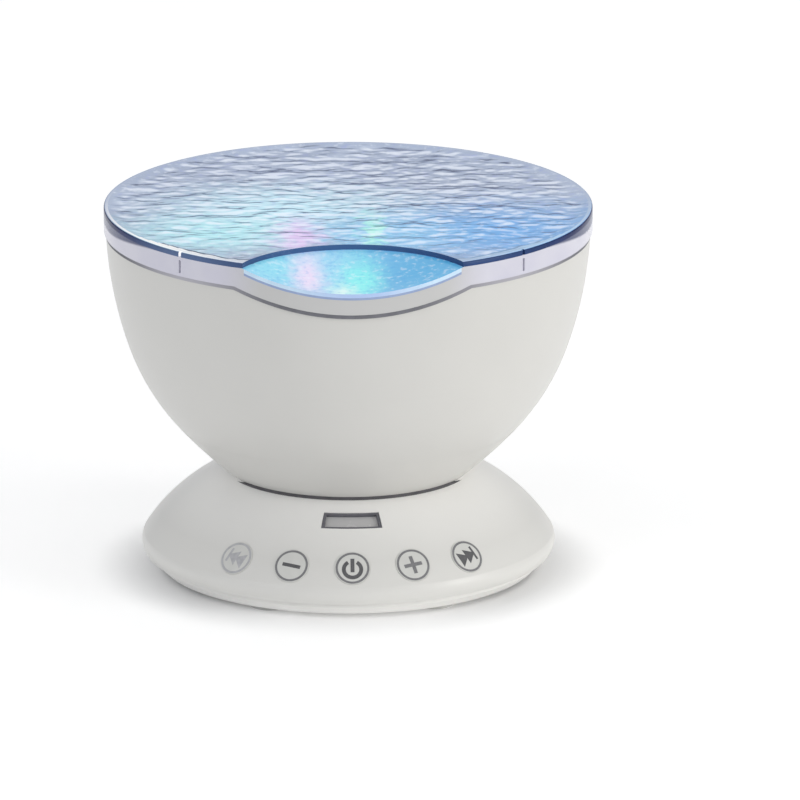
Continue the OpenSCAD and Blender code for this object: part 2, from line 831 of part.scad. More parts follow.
module key_minus() push_key(-1);

module key_power() push_key(0);

module key_plus() push_key(1);

module key_next() push_key(2);

module ir_window() color("lightgray") {
    gap_angle = fit_gap / dome_r * 180 / PI;
    land_angle = window_land / dome_r * 180 / PI;
    face_r = dome_r - window_recess;
    back_r = dome_r - base_wall - fit_gap;
    rotate(gap_angle - 90 - window_half) rotate_extrude(angle = 2 * (window_half - gap_angle))
        window_section(window_half_angle - gap_angle, back_r - window_back_t, face_r);
    rotate(-land_angle - 90 - window_half) rotate_extrude(angle = 2 * (window_half + land_angle))
        window_section(window_half_angle + land_angle, back_r - window_back_t, back_r);
}

module ir_receiver() color("darkslategray") {
    on_dome(0, window_angle)
        translate([-receiver_size.y / 2, -receiver_size.x / 2,
            -base_wall - window_back_t - pass_gap - receiver_size.z])
            cube([receiver_size.y, receiver_size.x, receiver_size.z]);
}

module speaker_frame() color("dimgray") translate([-speaker_x, 0, plate_floor]) {
    flange_in = speaker_r - 3;
    skin = 1.2;
    back_r = speaker_r / 2 + skin;
    rotate_extrude() polygon([
        [flange_in, 0], [speaker_r, 0], [speaker_r, skin], [flange_in + skin, skin], [back_r, speaker_h],
        [0, speaker_h], [0, speaker_h - skin], [back_r - skin, speaker_h - skin], [flange_in, skin]
    ]);
}

module speaker_cone() color("black") translate([-speaker_x, 0, plate_floor]) {
    edge = speaker_r - 3 - pass_gap;
    cap = speaker_r / 4;
    skin = 0.6;
    rotate_extrude() polygon([
        [edge, 0], [edge, skin], [cap, speaker_h / 2], [0, speaker_h / 2], [0, speaker_h / 2 - skin],
        [cap, speaker_h / 2 - skin]
    ]);
}

module speaker_magnet() color("gray") translate([-speaker_x, 0, plate_floor]) {
    bar(speaker_r / 2, speaker_h, speaker_h + magnet_t);
}

module main_board() color("darkgreen") {
    translate([-board_half_w, board_front, board_z])
        cube([2 * board_half_w, board_back - board_front, board_t]);
}

module board_chips() color("black") {
    // Controller, sound amplifier and lamp driver
    for (chip = [[-10, 7, 1.6], [0, 9, 2], [11, 6, 1.6]])
        translate([chip[0], (board_front + board_back) / 2 - 4, board_top + chip[2] / 2])
            cube([chip[1], chip[1], chip[2]], center = true);
}

module usb_socket() color("silver") translate([-socket_x, 0, board_top]) {
    tongue = usb_h / 4;
    difference() {
        translate([-usb_w / 2, usb_back, 0]) cube([usb_w, usb_end - usb_back, usb_h]);
        translate([usb_wall - usb_w / 2, usb_back + 2, usb_wall])
            cube([usb_w - 2 * usb_wall, far, usb_h - 2 * usb_wall]);
    }
    translate([-usb_w / 4, usb_back + 1, usb_h / 2 - tongue / 2]) cube([usb_w / 2, usb_end - usb_back - 2, tongue]);
}

module aux_jack() color("dimgray") translate([socket_x, 0, jack_z]) rotate([-90, 0, 0]) {
    difference() {
        union() {
            translate([-jack_r, -jack_r, jack_end - jack_depth - jack_back])
                cube([2 * jack_r, 2 * jack_r, jack_depth + jack_back - jack_neck]);
            bar(jack_r, jack_end - jack_depth, jack_end);
        }
        bar(jack_bore_r, jack_end - jack_depth, far);
    }
}

bowl_shell();
rim_ring();
wave_cover();
wave_disc();
disc_hub();
disc_shaft();
output_gear();
idler_gear();
idler_axle();
motor_can();
motor_shaft();
motor_pinion();
gearbox_case();
carrier_plate();
shaft_bush();
carrier_screws();
led_board();
red_leds();
green_leds();
blue_leds();
tilt_stem();
pressure_plate();
tilt_spring();
tilt_nut();
base_top();
base_plate();
feet();
base_screws();
key_strip();
key_switches();
key_previous();
key_minus();
key_power();
key_plus();
key_next();
ir_window();
ir_receiver();
speaker_frame();
speaker_cone();
speaker_magnet();
main_board();
board_chips();
usb_socket();
aux_jack();
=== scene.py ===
"""Looks of a bedside ocean wave projector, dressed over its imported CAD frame."""

import json
import logging
import math
from contextlib import contextmanager
from dataclasses import dataclass
from enum import Enum
from typing import Any, Callable, Iterator, Optional, Sequence

import bpy
from bpy.types import Material, Node, NodeSocket, NodeTree, Object
from mathutils import Matrix, Vector


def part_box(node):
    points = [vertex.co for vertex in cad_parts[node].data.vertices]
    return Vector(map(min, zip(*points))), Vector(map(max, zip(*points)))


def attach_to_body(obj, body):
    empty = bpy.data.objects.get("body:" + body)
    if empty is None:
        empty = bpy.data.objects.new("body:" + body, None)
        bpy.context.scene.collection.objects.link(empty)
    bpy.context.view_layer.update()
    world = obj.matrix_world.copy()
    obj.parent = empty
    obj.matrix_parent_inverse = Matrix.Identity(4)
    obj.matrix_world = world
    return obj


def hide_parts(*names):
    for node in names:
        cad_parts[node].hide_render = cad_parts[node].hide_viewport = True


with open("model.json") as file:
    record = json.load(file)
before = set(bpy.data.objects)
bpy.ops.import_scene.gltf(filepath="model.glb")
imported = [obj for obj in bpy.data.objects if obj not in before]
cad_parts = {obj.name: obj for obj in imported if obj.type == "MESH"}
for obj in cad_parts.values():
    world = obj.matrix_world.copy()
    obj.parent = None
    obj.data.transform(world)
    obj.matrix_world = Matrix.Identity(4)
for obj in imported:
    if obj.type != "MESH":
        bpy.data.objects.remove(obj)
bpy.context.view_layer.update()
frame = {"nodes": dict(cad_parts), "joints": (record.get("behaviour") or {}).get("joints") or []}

LOG = logging.getLogger("wave_projector")
MM = 0.001
# Distance that counts as none.
TINY = 0.01 * MM
# Middle of the object, and height of the cover's face.
MIDDLE = (0.0, 0.0, 0.06)
FACE_Z = 0.11
# Part of a noise's range in which most of it lies.
NOISE_SPAN = (0.3, 0.7)


def linear(hex_colour: str) -> tuple[float, float, float, float]:
    """Turns an sRGB hex colour into linear RGBA.

    Args:
        hex_colour: Colour as six hex digits after a hash.

    Returns:
        Linear red, green and blue, and an alpha of 1.
    """
    parts = [int(hex_colour[i:i + 2], 16) / 255 for i in (1, 3, 5)]
    bent = [c / 12.92 if c <= 0.04045 else ((c + 0.055) / 1.055) ** 2.4 for c in parts]
    return (*bent, 1.0)


def add_node(
    tree: NodeTree,
    kind: str,
    settings: Optional[dict[Any, Any]] = None,
    links: Optional[dict[Any, NodeSocket]] = None,
) -> Node:
    """Adds a node with its settings and links.

    Args:
        tree: Node tree that takes the node.
        kind: Blender's name for the kind of node.
        settings: Properties by name, input values by socket, and a ramp's stops.
        links: Output sockets by the input that each one feeds.

    Returns:
        The new node.
    """
    node = tree.nodes.new(kind)
    for key, value in (settings or {}).items():
        if key == "stops":
            ramp = node.color_ramp
            while len(ramp.elements) < len(value):
                ramp.elements.new(0.5)
            for stop, (place, colour) in zip(ramp.elements, value):
                stop.position, stop.color = place, linear(colour)
        elif isinstance(key, int) or key in node.inputs:
            node.inputs[key].default_value = value
        else:
            setattr(node, key, value)
    for key, socket in (links or {}).items():
        tree.links.new(node.inputs[key], socket)
    return node


@dataclass(frozen=True)
class Fade:
    """A range of a pattern over which a tint comes in, and the tint's share at its end."""

    first: float
    last: float
    share: float = 1.0


def lay(
    tree: NodeTree,
    ground: NodeSocket,
    tint: str,
    pattern: NodeSocket,
    fade: Fade,
    blend: str = "MIX",
) -> NodeSocket:
    """Lays a tint over a ground colour, where a pattern lets it in.

    Args:
        tree: The material's node tree.
        ground: Socket of the colour below.
        tint: Colour to lay, as sRGB hex.
        pattern: Socket of the pattern.
        fade: The pattern's range over which the tint comes in.
        blend: Blender's name for the way of mixing.

    Returns:
        Socket of the new colour.
    """
    share = add_node(tree, "ShaderNodeMapRange", {
        "interpolation_type": "SMOOTHSTEP",
        "From Min": fade.first, "From Max": fade.last, "To Max": fade.share,
    }, {"Value": pattern})
    return add_node(tree, "ShaderNodeMix", {"data_type": "RGBA", "blend_type": blend, 7: linear(tint)}, {
        0: share.outputs[0], 6: ground,
    }).outputs[2]


@dataclass(frozen=True)
class Finish:
    """A finish with a mottled colour, a grained surface and a worn or handled gloss.

    Sizes of patterns are in millimetres.
    """

    name: str
    colour: str
    shade: str
    roughness: float
    metallic: float = 0.0
    ior: float = 1.5
    mottle: float = 9.0
    grain: float = 0.9
    relief: float = 0.01
    stretch: tuple[float, float, float] = (1.0, 1.0, 1.0)
    coat: float = 0.0
    glow: float = 0.0
    bump: float = 0.6
    gloss_swing: float = 0.04

    def material(self) -> Material:
        """Gives the finish's material, made once.

        Returns:
            The material.
        """
        known = bpy.data.materials.get("finish_" + self.name)
        if known:
            return known
        made = bpy.data.materials.new("finish_" + self.name)
        made.use_nodes = True
        tree = made.node_tree
        tree.nodes.clear()
        shader = add_node(tree, "ShaderNodeBsdfPrincipled", {
            "Metallic": self.metallic, "Coat Weight": self.coat, "Emission Strength": self.glow,
        })
        if not self.metallic:
            shader.inputs["IOR"].default_value = self.ior
        add_node(tree, "ShaderNodeOutputMaterial", links={"Surface": shader.outputs[0]})
        self.dress(tree, shader)
        return made

    def place(self, tree: NodeTree) -> NodeSocket:
        """Adds the finish's coordinates in millimetres, stretched along its lay.

        Args:
            tree: The material's node tree.

        Returns:
            Socket of the coordinates.
        """
        at = add_node(tree, "ShaderNodeTexCoord")
        scale = tuple(1 / (MM * s) for s in self.stretch)
        return add_node(tree, "ShaderNodeMapping", {"Scale": scale}, {0: at.outputs["Object"]}).outputs[0]

    def grained(self, tree: NodeTree, shader: Node) -> NodeSocket:
        """Adds the surface's grain to the shader's normal and gloss.

        Args:
            tree: The material's node tree.
            shader: The material's shader.

        Returns:
            Socket of the broad mottle, from 0 to 1.
        """
        at = self.place(tree)
        fine = add_node(tree, "ShaderNodeTexNoise", {"Scale": 1 / self.grain, "Detail": 2.0}, {"Vector": at})
        broad = add_node(tree, "ShaderNodeTexNoise", {"Scale": 1 / self.mottle, "Detail": 3.0}, {
            "Vector": at,
        })
        bump = add_node(tree, "ShaderNodeBump", {"Strength": self.bump, "Distance": self.relief * MM}, {
            "Height": fine.outputs[0],
        })
        tree.links.new(shader.inputs["Normal"], bump.outputs[0])
        gloss = add_node(tree, "ShaderNodeMapRange", {
            "From Min": NOISE_SPAN[0], "From Max": NOISE_SPAN[1],
            "To Min": self.roughness - self.gloss_swing, "To Max": self.roughness + self.gloss_swing,
        }, {"Value": broad.outputs[0]})
        tree.links.new(shader.inputs["Roughness"], gloss.outputs[0])
        return broad.outputs[0]

    def mottled(
        self, tree: NodeTree, shader: Node, span: tuple[float, float] = NOISE_SPAN,
    ) -> NodeSocket:
        """Adds the surface's grain and its mottled colour.

        Args:
            tree: The material's node tree.
            shader: The material's shader.
            span: Part of the mottle's range over which the colour changes.

        Returns:
            Socket of the colour.
        """
        broad = self.grained(tree, shader)
        stops = list(zip(span, (self.shade, self.colour)))
        return add_node(tree, "ShaderNodeValToRGB", {"stops": stops}, {0: broad}).outputs[0]

    def tint(self, tree: NodeTree, shader: Node, colour: NodeSocket) -> None:
        """Feeds a colour to the shader, and to its glow where it has one.

        Args:
            tree: The material's node tree.
            shader: The material's shader.
            colour: Socket of the colour.
        """
        tree.links.new(shader.inputs["Base Color"], colour)
        if self.glow:
            tree.links.new(shader.inputs["Emission Color"], colour)

    def dress(self, tree: NodeTree, shader: Node) -> None:
        """Gives the shader its mottled colour over the grain."""
        self.tint(tree, shader, self.mottled(tree, shader))


@dataclass(frozen=True)
class GlassFibreBoard(Finish):
    """A circuit board: green lacquer over glass cloth, with fine copper tracks."""

    track: float = 1.8
    track_w: float = 0.06
    track_run: float = 3.0
    track_row: float = 0.5
    track_colour: str = "#4F9A5C"
    track_share: float = 0.45

    def dress(self, tree: NodeTree, shader: Node) -> None:
        """Draws the tracks, seen through the lacquer.

        Args:
            tree: The material's node tree.
            shader: The material's shader.
        """
        lacquer = self.mottled(tree, shader)
        black, white = linear("#000000"), linear("#FFFFFF")
        tracks = add_node(tree, "ShaderNodeTexBrick", {
            "Color1": black, "Color2": black, "Mortar": white, "Scale": 1.0 / self.track,
            "Mortar Size": self.track_w, "Brick Width": self.track_run, "Row Height": self.track_row,
        }, {"Vector": self.place(tree)})
        share = add_node(tree, "ShaderNodeMath", {"operation": "MULTIPLY", 1: self.track_share}, {
            0: tracks.outputs["Color"],
        })
        mixed = add_node(tree, "ShaderNodeMix", {"data_type": "RGBA", 7: linear(self.track_colour)}, {
            0: share.outputs[0], 6: lacquer,
        })
        self.tint(tree, shader, mixed.outputs[2])


@dataclass(frozen=True)
class PaintedPatch:
    """A patch of painted colour that stands in for light, and at the margin's foot for shade.

    Centre and radii are in millimetres, seen from above.
    """

    colour: str
    centre: tuple[float, float]
    reach: tuple[float, float]
    weight: float


@dataclass(frozen=True)
class LitAcrylic(Finish):
    """Clear acrylic with painted light: patches of coloured light, broken up by painted shade and highlights
    on the waves on its face.
    """

    patches: tuple[PaintedPatch, ...] = ()
    # Painted shade on flanks that lean to the back, and painted highlight on flanks that lean to the front;
    # the highlight also colours the pale flecks.
    trough_shade: str = "#56698F"
    crest_highlight: str = "#EEF4FF"
    waves: str = ""
    blotch: float = 5.0
    drift: tuple[float, float] = (9.0, 14.0)
    fleck: float = 0.0
    deep: str = "#3E9BE0"
    span: tuple[float, float] = (0.35, 0.65)
    pale_fleck: Fade = Fade(0.53, 0.7, 0.3)
    deep_fleck: Fade = Fade(0.47, 0.3, 0.25)
    flank_shade: Fade = Fade(0.4, 1.7)
    flank_highlight: Fade = Fade(-0.2, -1.7, 0.6)

    def dress(self, tree: NodeTree, shader: Node) -> None:
        """Lays the painted light patches, then painted flecks of light, and the painted shade and highlight
        on the flanks of the waves.

        Args:
            tree: The material's node tree.
            shader: The material's shader.
        """
        colour = self.mottled(tree, shader, self.span)
        at = add_node(tree, "ShaderNodeTexCoord").outputs["Object"]
        warp = add_node(tree, "ShaderNodeTexNoise", {"Scale": 1 / (MM * self.blotch), "Detail": 2.0}, {
            "Vector": at,
        })
        sway = add_node(tree, "ShaderNodeVectorMath", {"operation": "SUBTRACT", 1: (0.5, 0.5, 0.5)}, {
            0: warp.outputs["Color"],
        })
        drift = (2 * self.drift[0] * MM, 2 * self.drift[1] * MM, 0.0)
        swayed = add_node(tree, "ShaderNodeVectorMath", {"operation": "MULTIPLY_ADD", 1: drift}, {
            0: sway.outputs[0], 2: at,
        })
        # Patches of painted light; at the margin's foot, patches of painted shade.
        for patch in self.patches:
            spot = add_node(tree, "ShaderNodeMapping", {
                "vector_type": "TEXTURE",
                "Location": (patch.centre[0] * MM, patch.centre[1] * MM, FACE_Z),
                "Scale": (patch.reach[0] * MM, patch.reach[1] * MM, 1.0),
            }, {0: swayed.outputs[0]})
            ball = add_node(tree, "ShaderNodeTexGradient", {"gradient_type": "SPHERICAL"}, {
                0: spot.outputs[0],
            })
            colour = lay(tree, colour, patch.colour, ball.outputs["Fac"], Fade(0.0, 1.0, patch.weight))
        # Painted flecks of light, pale and deep.
        if self.fleck:
            specks = add_node(tree, "ShaderNodeTexNoise", {"Scale": 1 / (MM * self.fleck), "Detail": 3.0}, {
                "Vector": at,
            })
            for hue, fade in ((self.crest_highlight, self.pale_fleck), (self.deep, self.deep_fleck)):
                colour = lay(tree, colour, hue, specks.outputs[0], fade)
        # Painted shade and highlight on the waves' flanks, set by how far each flank leans to the back.
        if self.waves:
            lean = add_node(tree, "ShaderNodeAttribute", {"attribute_name": self.waves}).outputs["Fac"]
            colour = lay(tree, colour, self.trough_shade, lean, self.flank_shade, "MULTIPLY")
            colour = lay(tree, colour, self.crest_highlight, lean, self.flank_highlight)
        self.tint(tree, shader, colour)


@dataclass(frozen=True)
class RimAcrylic(Finish):
    """Milky acrylic with a painted navy reflection of the cover's edge along its upper edge, round the sides
    and back.

    Painted shade makes it greyer under the scoop. Places are in millimetres.
    """

    # Painted reflection: the navy band of the cover's edge, reaching lower round the sides and back.
    band: str = "#26335F"
    band_top: float = 113.4
    band_h: float = 3.0
    band_start: float = -54.0
    band_full: float = -14.0
    band_soft: float = 0.9
    band_share: float = 0.95
    # Painted shade under the scoop: grey where the ring lies near the middle, left to right.
    grey: str = "#B7B7B6"
    grey_x: float = 26.0
    even_x: float = 42.0

    def dress(self, tree: NodeTree, shader: Node) -> None:
        """Lays the grey stretch of painted shade and the navy band of painted reflection over the milky
        ground.

        Args:
            tree: The material's node tree.
            shader: The material's shader.
        """
        milky = self.mottled(tree, shader)
        at = add_node(tree, "ShaderNodeTexCoord")
        axes = add_node(tree, "ShaderNodeSeparateXYZ", links={0: at.outputs["Object"]})
        aside = add_node(tree, "ShaderNodeMath", {"operation": "ABSOLUTE"}, {0: axes.outputs["X"]})
        ground = lay(tree, milky, self.grey, aside.outputs[0], Fade(self.even_x * MM, self.grey_x * MM))
        low = add_node(tree, "ShaderNodeMapRange", {
            "interpolation_type": "SMOOTHSTEP",
            "From Min": self.band_start * MM, "From Max": self.band_full * MM,
            "To Min": self.band_top * MM, "To Max": (self.band_top - self.band_h) * MM,
        }, {"Value": axes.outputs["Y"]})
        over = add_node(tree, "ShaderNodeMath", {"operation": "SUBTRACT"}, {
            0: axes.outputs["Z"], 1: low.outputs[0],
        })
        fade = Fade(0.0, self.band_soft * MM, self.band_share)
        self.tint(tree, shader, lay(tree, ground, self.band, over.outputs[0], fade))


@dataclass(frozen=True)
class CupAbs(Finish):
    """White ABS with painted light: paler towards the bowl's cup and along its lower edge.

    Radii from the object's upright axis and heights are in millimetres.
    """

    # Painted light near the cup and along the lower edge.
    pale: str = "#F6F5F2"
    pale_r: float = 40.0
    even_r: float = 58.0
    pale_z: float = 2.0
    even_z: float = 7.0
    low_share: float = 0.7

    def dress(self, tree: NodeTree, shader: Node) -> None:
        """Lays the two zones of painted light over the mottled colour.

        Args:
            tree: The material's node tree.
            shader: The material's shader.
        """
        even = self.mottled(tree, shader)
        at = add_node(tree, "ShaderNodeTexCoord").outputs["Object"]
        flat = add_node(tree, "ShaderNodeVectorMath", {"operation": "MULTIPLY", 1: (1.0, 1.0, 0.0)}, {0: at})
        far = add_node(tree, "ShaderNodeVectorMath", {"operation": "LENGTH"}, {0: flat.outputs[0]})
        near = add_node(tree, "ShaderNodeMapRange", {
            "From Min": self.even_r * MM, "From Max": self.pale_r * MM,
        }, {"Value": far.outputs["Value"]})
        axes = add_node(tree, "ShaderNodeSeparateXYZ", links={0: at})
        low = add_node(tree, "ShaderNodeMapRange", {
            "interpolation_type": "SMOOTHSTEP",
            "From Min": self.even_z * MM, "From Max": self.pale_z * MM, "To Max": self.low_share,
        }, {"Value": axes.outputs["Z"]})
        most = add_node(tree, "ShaderNodeMath", {"operation": "MAXIMUM"}, {
            0: near.outputs[0], 1: low.outputs[0],
        })
        mixed = add_node(tree, "ShaderNodeMix", {"data_type": "RGBA", 7: linear(self.pale)}, {
            0: most.outputs[0], 6: even,
        })
        self.tint(tree, shader, mixed.outputs[2])


@dataclass(frozen=True)
class LitPaper(Finish):
    """White paper that glows evenly, with a painted shadow round the object's foot, darkest at its two sides.

    Places are in millimetres.
    """

    # Painted shadow: where it starts and ends round the foot, and how much of it falls at the front.
    foot_r: float = 62.0
    lit_r: float = 82.0
    front: float = 0.5
    front_x: float = 20.0
    side_x: float = 48.0

    def dress(self, tree: NodeTree, shader: Node) -> None:
        """Paints a shadow round the object by fading the paper's glow there.

        Args:
            tree: The material's node tree.
            shader: The material's shader.
        """
        super().dress(tree, shader)
        at = add_node(tree, "ShaderNodeTexCoord").outputs["Object"]
        axes = add_node(tree, "ShaderNodeSeparateXYZ", links={0: at})
        aside = add_node(tree, "ShaderNodeMath", {"operation": "ABSOLUTE"}, {0: axes.outputs["X"]})
        weight = add_node(tree, "ShaderNodeMapRange", {
            "From Min": self.front_x * MM, "From Max": self.side_x * MM, "To Min": self.front,
        }, {"Value": aside.outputs[0]})
        far = add_node(tree, "ShaderNodeVectorMath", {"operation": "LENGTH"}, {0: at})
        near = add_node(tree, "ShaderNodeMapRange", {
            "interpolation_type": "SMOOTHSTEP",
            "From Min": self.lit_r * MM, "From Max": self.foot_r * MM,
        }, {"Value": far.outputs["Value"]})
        shade = add_node(tree, "ShaderNodeMath", {"operation": "MULTIPLY"}, {
            0: weight.outputs[0], 1: near.outputs[0],
        })
        lit = add_node(tree, "ShaderNodeMath", {"operation": "MULTIPLY_ADD", 1: -self.glow, 2: self.glow}, {
            0: shade.outputs[0],
        })
        tree.links.new(shader.inputs["Emission Strength"], lit.outputs[0])


class Slot(Enum):
    """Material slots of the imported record."""

    WHITE_ABS = "white_abs"
    KEY_ABS = "key_abs"
    RIM_ACRYLIC = "rim_acrylic"
    COVER_ACRYLIC = "cover_acrylic"
    DISC_ACRYLIC = "disc_acrylic"
    NYLON = "nylon"
    STEEL = "steel"
    SPRING_STEEL = "spring_steel"
    MOTOR_STEEL = "motor_steel"
    BLACK_ABS = "black_abs"
    GREY_ABS = "grey_abs"
    BRONZE = "bronze"
    BOARD = "board"
    RED_LAMP = "red_lamp"
    GREEN_LAMP = "green_lamp"
    BLUE_LAMP = "blue_lamp"
    FOOT_RUBBER = "foot_rubber"
    WINDOW_GREY = "window_grey"
    CHIP_BLACK = "chip_black"
    SPEAKER_STEEL = "speaker_steel"
    CONE_PAPER = "cone_paper"
    MAGNET = "magnet"
    SOCKET_STEEL = "socket_steel"


FINISHES: dict[Slot, Finish] = {
    # White ABS, moulded in a lightly etched tool: satin, with an even, slightly cool white.
    Slot.WHITE_ABS: Finish("moulded_white_abs", "#C9C8C4", "#C7C6C2", 0.36, mottle=30.0, relief=0.006),
    # The same ABS from another tool: the keys are a shade greyer.
    Slot.KEY_ABS: Finish("key_abs", "#CECECA", "#C9C9C5", 0.4, mottle=3.0, relief=0.006),
    # Milky acrylic: a soft lilac white, with a little painted glow for the light behind it.
    Slot.RIM_ACRYLIC: RimAcrylic(
        "milky_acrylic", "#C5C4CE", "#BDBCCA", 0.22, ior=1.49, mottle=14.0, relief=0.003, glow=0.06,
    ),
    # Clear acrylic seen on edge, where it looks navy and reflects little: painted highlights make it paler in
    # the bite and front left.
    Slot.COVER_ACRYLIC: LitAcrylic(
        "acrylic_edge", "#1C2A5C", "#13204C", 0.2, ior=1.2, mottle=11.0, relief=0.002,
        drift=(3.0, 3.0), patches=(
            PaintedPatch("#476796", (0.0, -50.0), (80.0, 40.0), 1.0),
            PaintedPatch("#65799D", (-60.0, -62.0), (40.0, 40.0), 0.9),
        ),
    ),
    # Pale blue acrylic disc with long, low waves.
    Slot.DISC_ACRYLIC: Finish("waved_acrylic", "#BFD9EA", "#9CC3DF", 0.15, ior=1.49, grain=8.0, relief=0.4),
    # Natural nylon: creamy and slightly waxy.
    Slot.NYLON: Finish("natural_nylon", "#E9E2CF", "#DED5BE", 0.42, ior=1.53, mottle=4.0, grain=0.5),
    # Zinc-plated steel, with a cloudy bluish grey.
    Slot.STEEL: Finish(
        "zinc_plated_steel", "#B9BDC2", "#A3A8AE", 0.3, 1.0, mottle=2.0, grain=0.4, stretch=(1.0, 1.0, 0.35),
    ),
    # Oiled spring steel, dark grey.
    Slot.SPRING_STEEL: Finish("oiled_spring_steel", "#6E7073", "#585A5E", 0.36, 1.0, mottle=2.0, grain=0.4),
    # Drawn steel motor can, with fine draw lines along its axis.
    Slot.MOTOR_STEEL: Finish(
        "drawn_steel", "#C3C4C3", "#ABADAE", 0.33, 1.0, mottle=3.0, grain=0.4, stretch=(1.0, 1.0, 12.0),
    ),
    # Black ABS, moulded in an etched tool: matt charcoal.
    Slot.BLACK_ABS: Finish("moulded_black_abs", "#232426", "#1B1C1E", 0.5, mottle=5.0),
    # Mid-grey ABS of the inner carrier.
    Slot.GREY_ABS: Finish("moulded_grey_abs", "#8D9094", "#82868B", 0.5, mottle=7.0),
    # Sintered bronze bush, porous and oily.
    Slot.BRONZE: Finish(
        "sintered_bronze", "#A9793F", "#8C6232", 0.42, 1.0, mottle=1.5, grain=0.3, relief=0.03,
    ),
    # Green circuit board: lacquer over glass cloth and copper tracks.
    Slot.BOARD: GlassFibreBoard("green_circuit_board", "#1E6A3A", "#185A31", 0.34, mottle=6.0, coat=0.2),
    # Red, green and blue epoxy lamps, clear and glossy with a glowing core.
    Slot.RED_LAMP: Finish("red_epoxy", "#E8402F", "#C92A20", 0.1, ior=1.55, mottle=2.0, glow=0.5),
    Slot.GREEN_LAMP: Finish("green_epoxy", "#3FD46B", "#27B552", 0.1, ior=1.55, mottle=2.0, glow=0.5),
    Slot.BLUE_LAMP: Finish("blue_epoxy", "#3F7BEB", "#275FD0", 0.1, ior=1.55, mottle=2.0, glow=0.5),
    # Soft pale rubber, with a dusty bloom.
    Slot.FOOT_RUBBER: Finish("foot_rubber", "#C6C6C3", "#BBBBB8", 0.75, mottle=3.0, grain=0.5, relief=0.03),
    # Pale grey polycarbonate window, smooth.
    Slot.WINDOW_GREY: Finish(
        "window_polycarbonate", "#BDBCBC", "#B7B6B6", 0.25, ior=1.58, mottle=5.0, relief=0.002,
    ),
    # Black epoxy of the chips, finely sanded.
    Slot.CHIP_BLACK: Finish("chip_epoxy", "#1D1E21", "#25262A", 0.55, mottle=1.5, grain=0.3),
    # Pressed, blackened steel of the speaker's basket.
    Slot.SPEAKER_STEEL: Finish("blackened_steel", "#4B4D50", "#3D3F42", 0.38, 1.0, mottle=3.0, grain=0.5),
    # Pressed paper cone, with visible fibres.
    Slot.CONE_PAPER: Finish(
        "pressed_paper", "#2C2B2A", "#3A3836", 0.85, mottle=1.2, grain=0.35, relief=0.05,
        stretch=(3.0, 1.0, 1.0),
    ),
    # Ferrite magnet: dull charcoal, granular.
    Slot.MAGNET: Finish("ferrite", "#3B3A3C", "#302F31", 0.62, mottle=2.0, grain=0.4, relief=0.04),
    # Tinned steel shell of the power socket, bright.
    Slot.SOCKET_STEEL: Finish("tinned_steel", "#C9CACB", "#B7B9BB", 0.24, 1.0, mottle=1.5, grain=0.3),
}

# The base, a shade lighter than the bowl, and palest round its cup and foot: all three are painted light.
BASE_ABS = CupAbs("base_abs_painted_light", "#D6D5D1", "#D4D3CF", 0.38, mottle=30.0, relief=0.006)
# Painted shade: a matt dark grey on the window's frame, for the shade on the recess's walls.
WINDOW_SHADE = Finish("window_wall_shade", "#67676D", "#5D5D63", 0.7, mottle=3.0, grain=0.5)
# A paler grey in the joint between bowl and ring: painted shade, palest at the front left and right, where
# painted light leaks through.
RIM_SHADE = LitAcrylic(
    "rim_joint_shade", "#6E6F75", "#66676D", 0.7, mottle=3.0, grain=0.5, drift=(2.0, 2.0), patches=(
        PaintedPatch("#ACABB2", (-52.0, -56.0), (36.0, 36.0), 1.0),
        PaintedPatch("#A3A2A9", (50.0, -57.0), (36.0, 36.0), 1.0),
    ),
)
# Painted shade: a blacker grey in the line round the cup, for the shade in the gap under the bowl.
CUP_SHADE = Finish("cup_line_shade", "#474649", "#504F52", 0.7, mottle=3.0, grain=0.5)

# Patches of painted coloured light that the photograph shows on the cover and in the scoop.
COVER_LIGHT = (
    PaintedPatch("#5FAAEA", (44.0, -30.0), (66.0, 54.0), 1.0),
    PaintedPatch("#C2EEFC", (-20.0, -2.0), (58.0, 42.0), 0.95),
    PaintedPatch("#86CCF4", (8.0, -34.0), (40.0, 36.0), 0.95),
    PaintedPatch("#B2F0F8", (-40.0, -30.0), (46.0, 36.0), 0.95),
    PaintedPatch("#EDC6F8", (-15.5, -34.0), (12.0, 32.0), 0.85),
    PaintedPatch("#A6FBE8", (7.0, -30.0), (5.0, 36.0), 0.95),
)
SCOOP_LIGHT = (
    PaintedPatch("#5AB2E2", (22.0, -64.0), (40.0, 30.0), 1.0),
    PaintedPatch("#8FDCEF", (-24.0, -60.0), (26.0, 26.0), 0.9),
    PaintedPatch("#A4DCF5", (-6.0, -60.0), (18.0, 30.0), 0.85),
    PaintedPatch("#EFDCF6", (-13.5, -64.0), (8.0, 26.0), 0.9),
    PaintedPatch("#88F2F2", (2.5, -66.0), (11.0, 26.0), 1.0),
    PaintedPatch("#E6FFF6", (-3.0, -73.0), (7.0, 9.0), 0.8),
)

# Clear acrylic with cast waves, in painted light and shade: it looks like water lit from below.
RIPPLED = LitAcrylic(
    "rippled_acrylic", "#A7B5CE", "#9BA9C3", 0.1, ior=1.49, mottle=22.0, relief=0.002, glow=0.2,
    patches=COVER_LIGHT, waves="lean", blotch=4.0, fleck=2.4, deep="#8A93DC",
)
# The same acrylic, polished smooth, with painted light on it in soft patches and small flecks.
SCOOPED = LitAcrylic(
    "polished_acrylic", "#8CCBEF", "#7FC0EB", 0.12, ior=1.49, mottle=12.0, relief=0.002, glow=0.18,
    patches=SCOOP_LIGHT, blotch=3.0, drift=(3.0, 5.0), fleck=1.8,
)
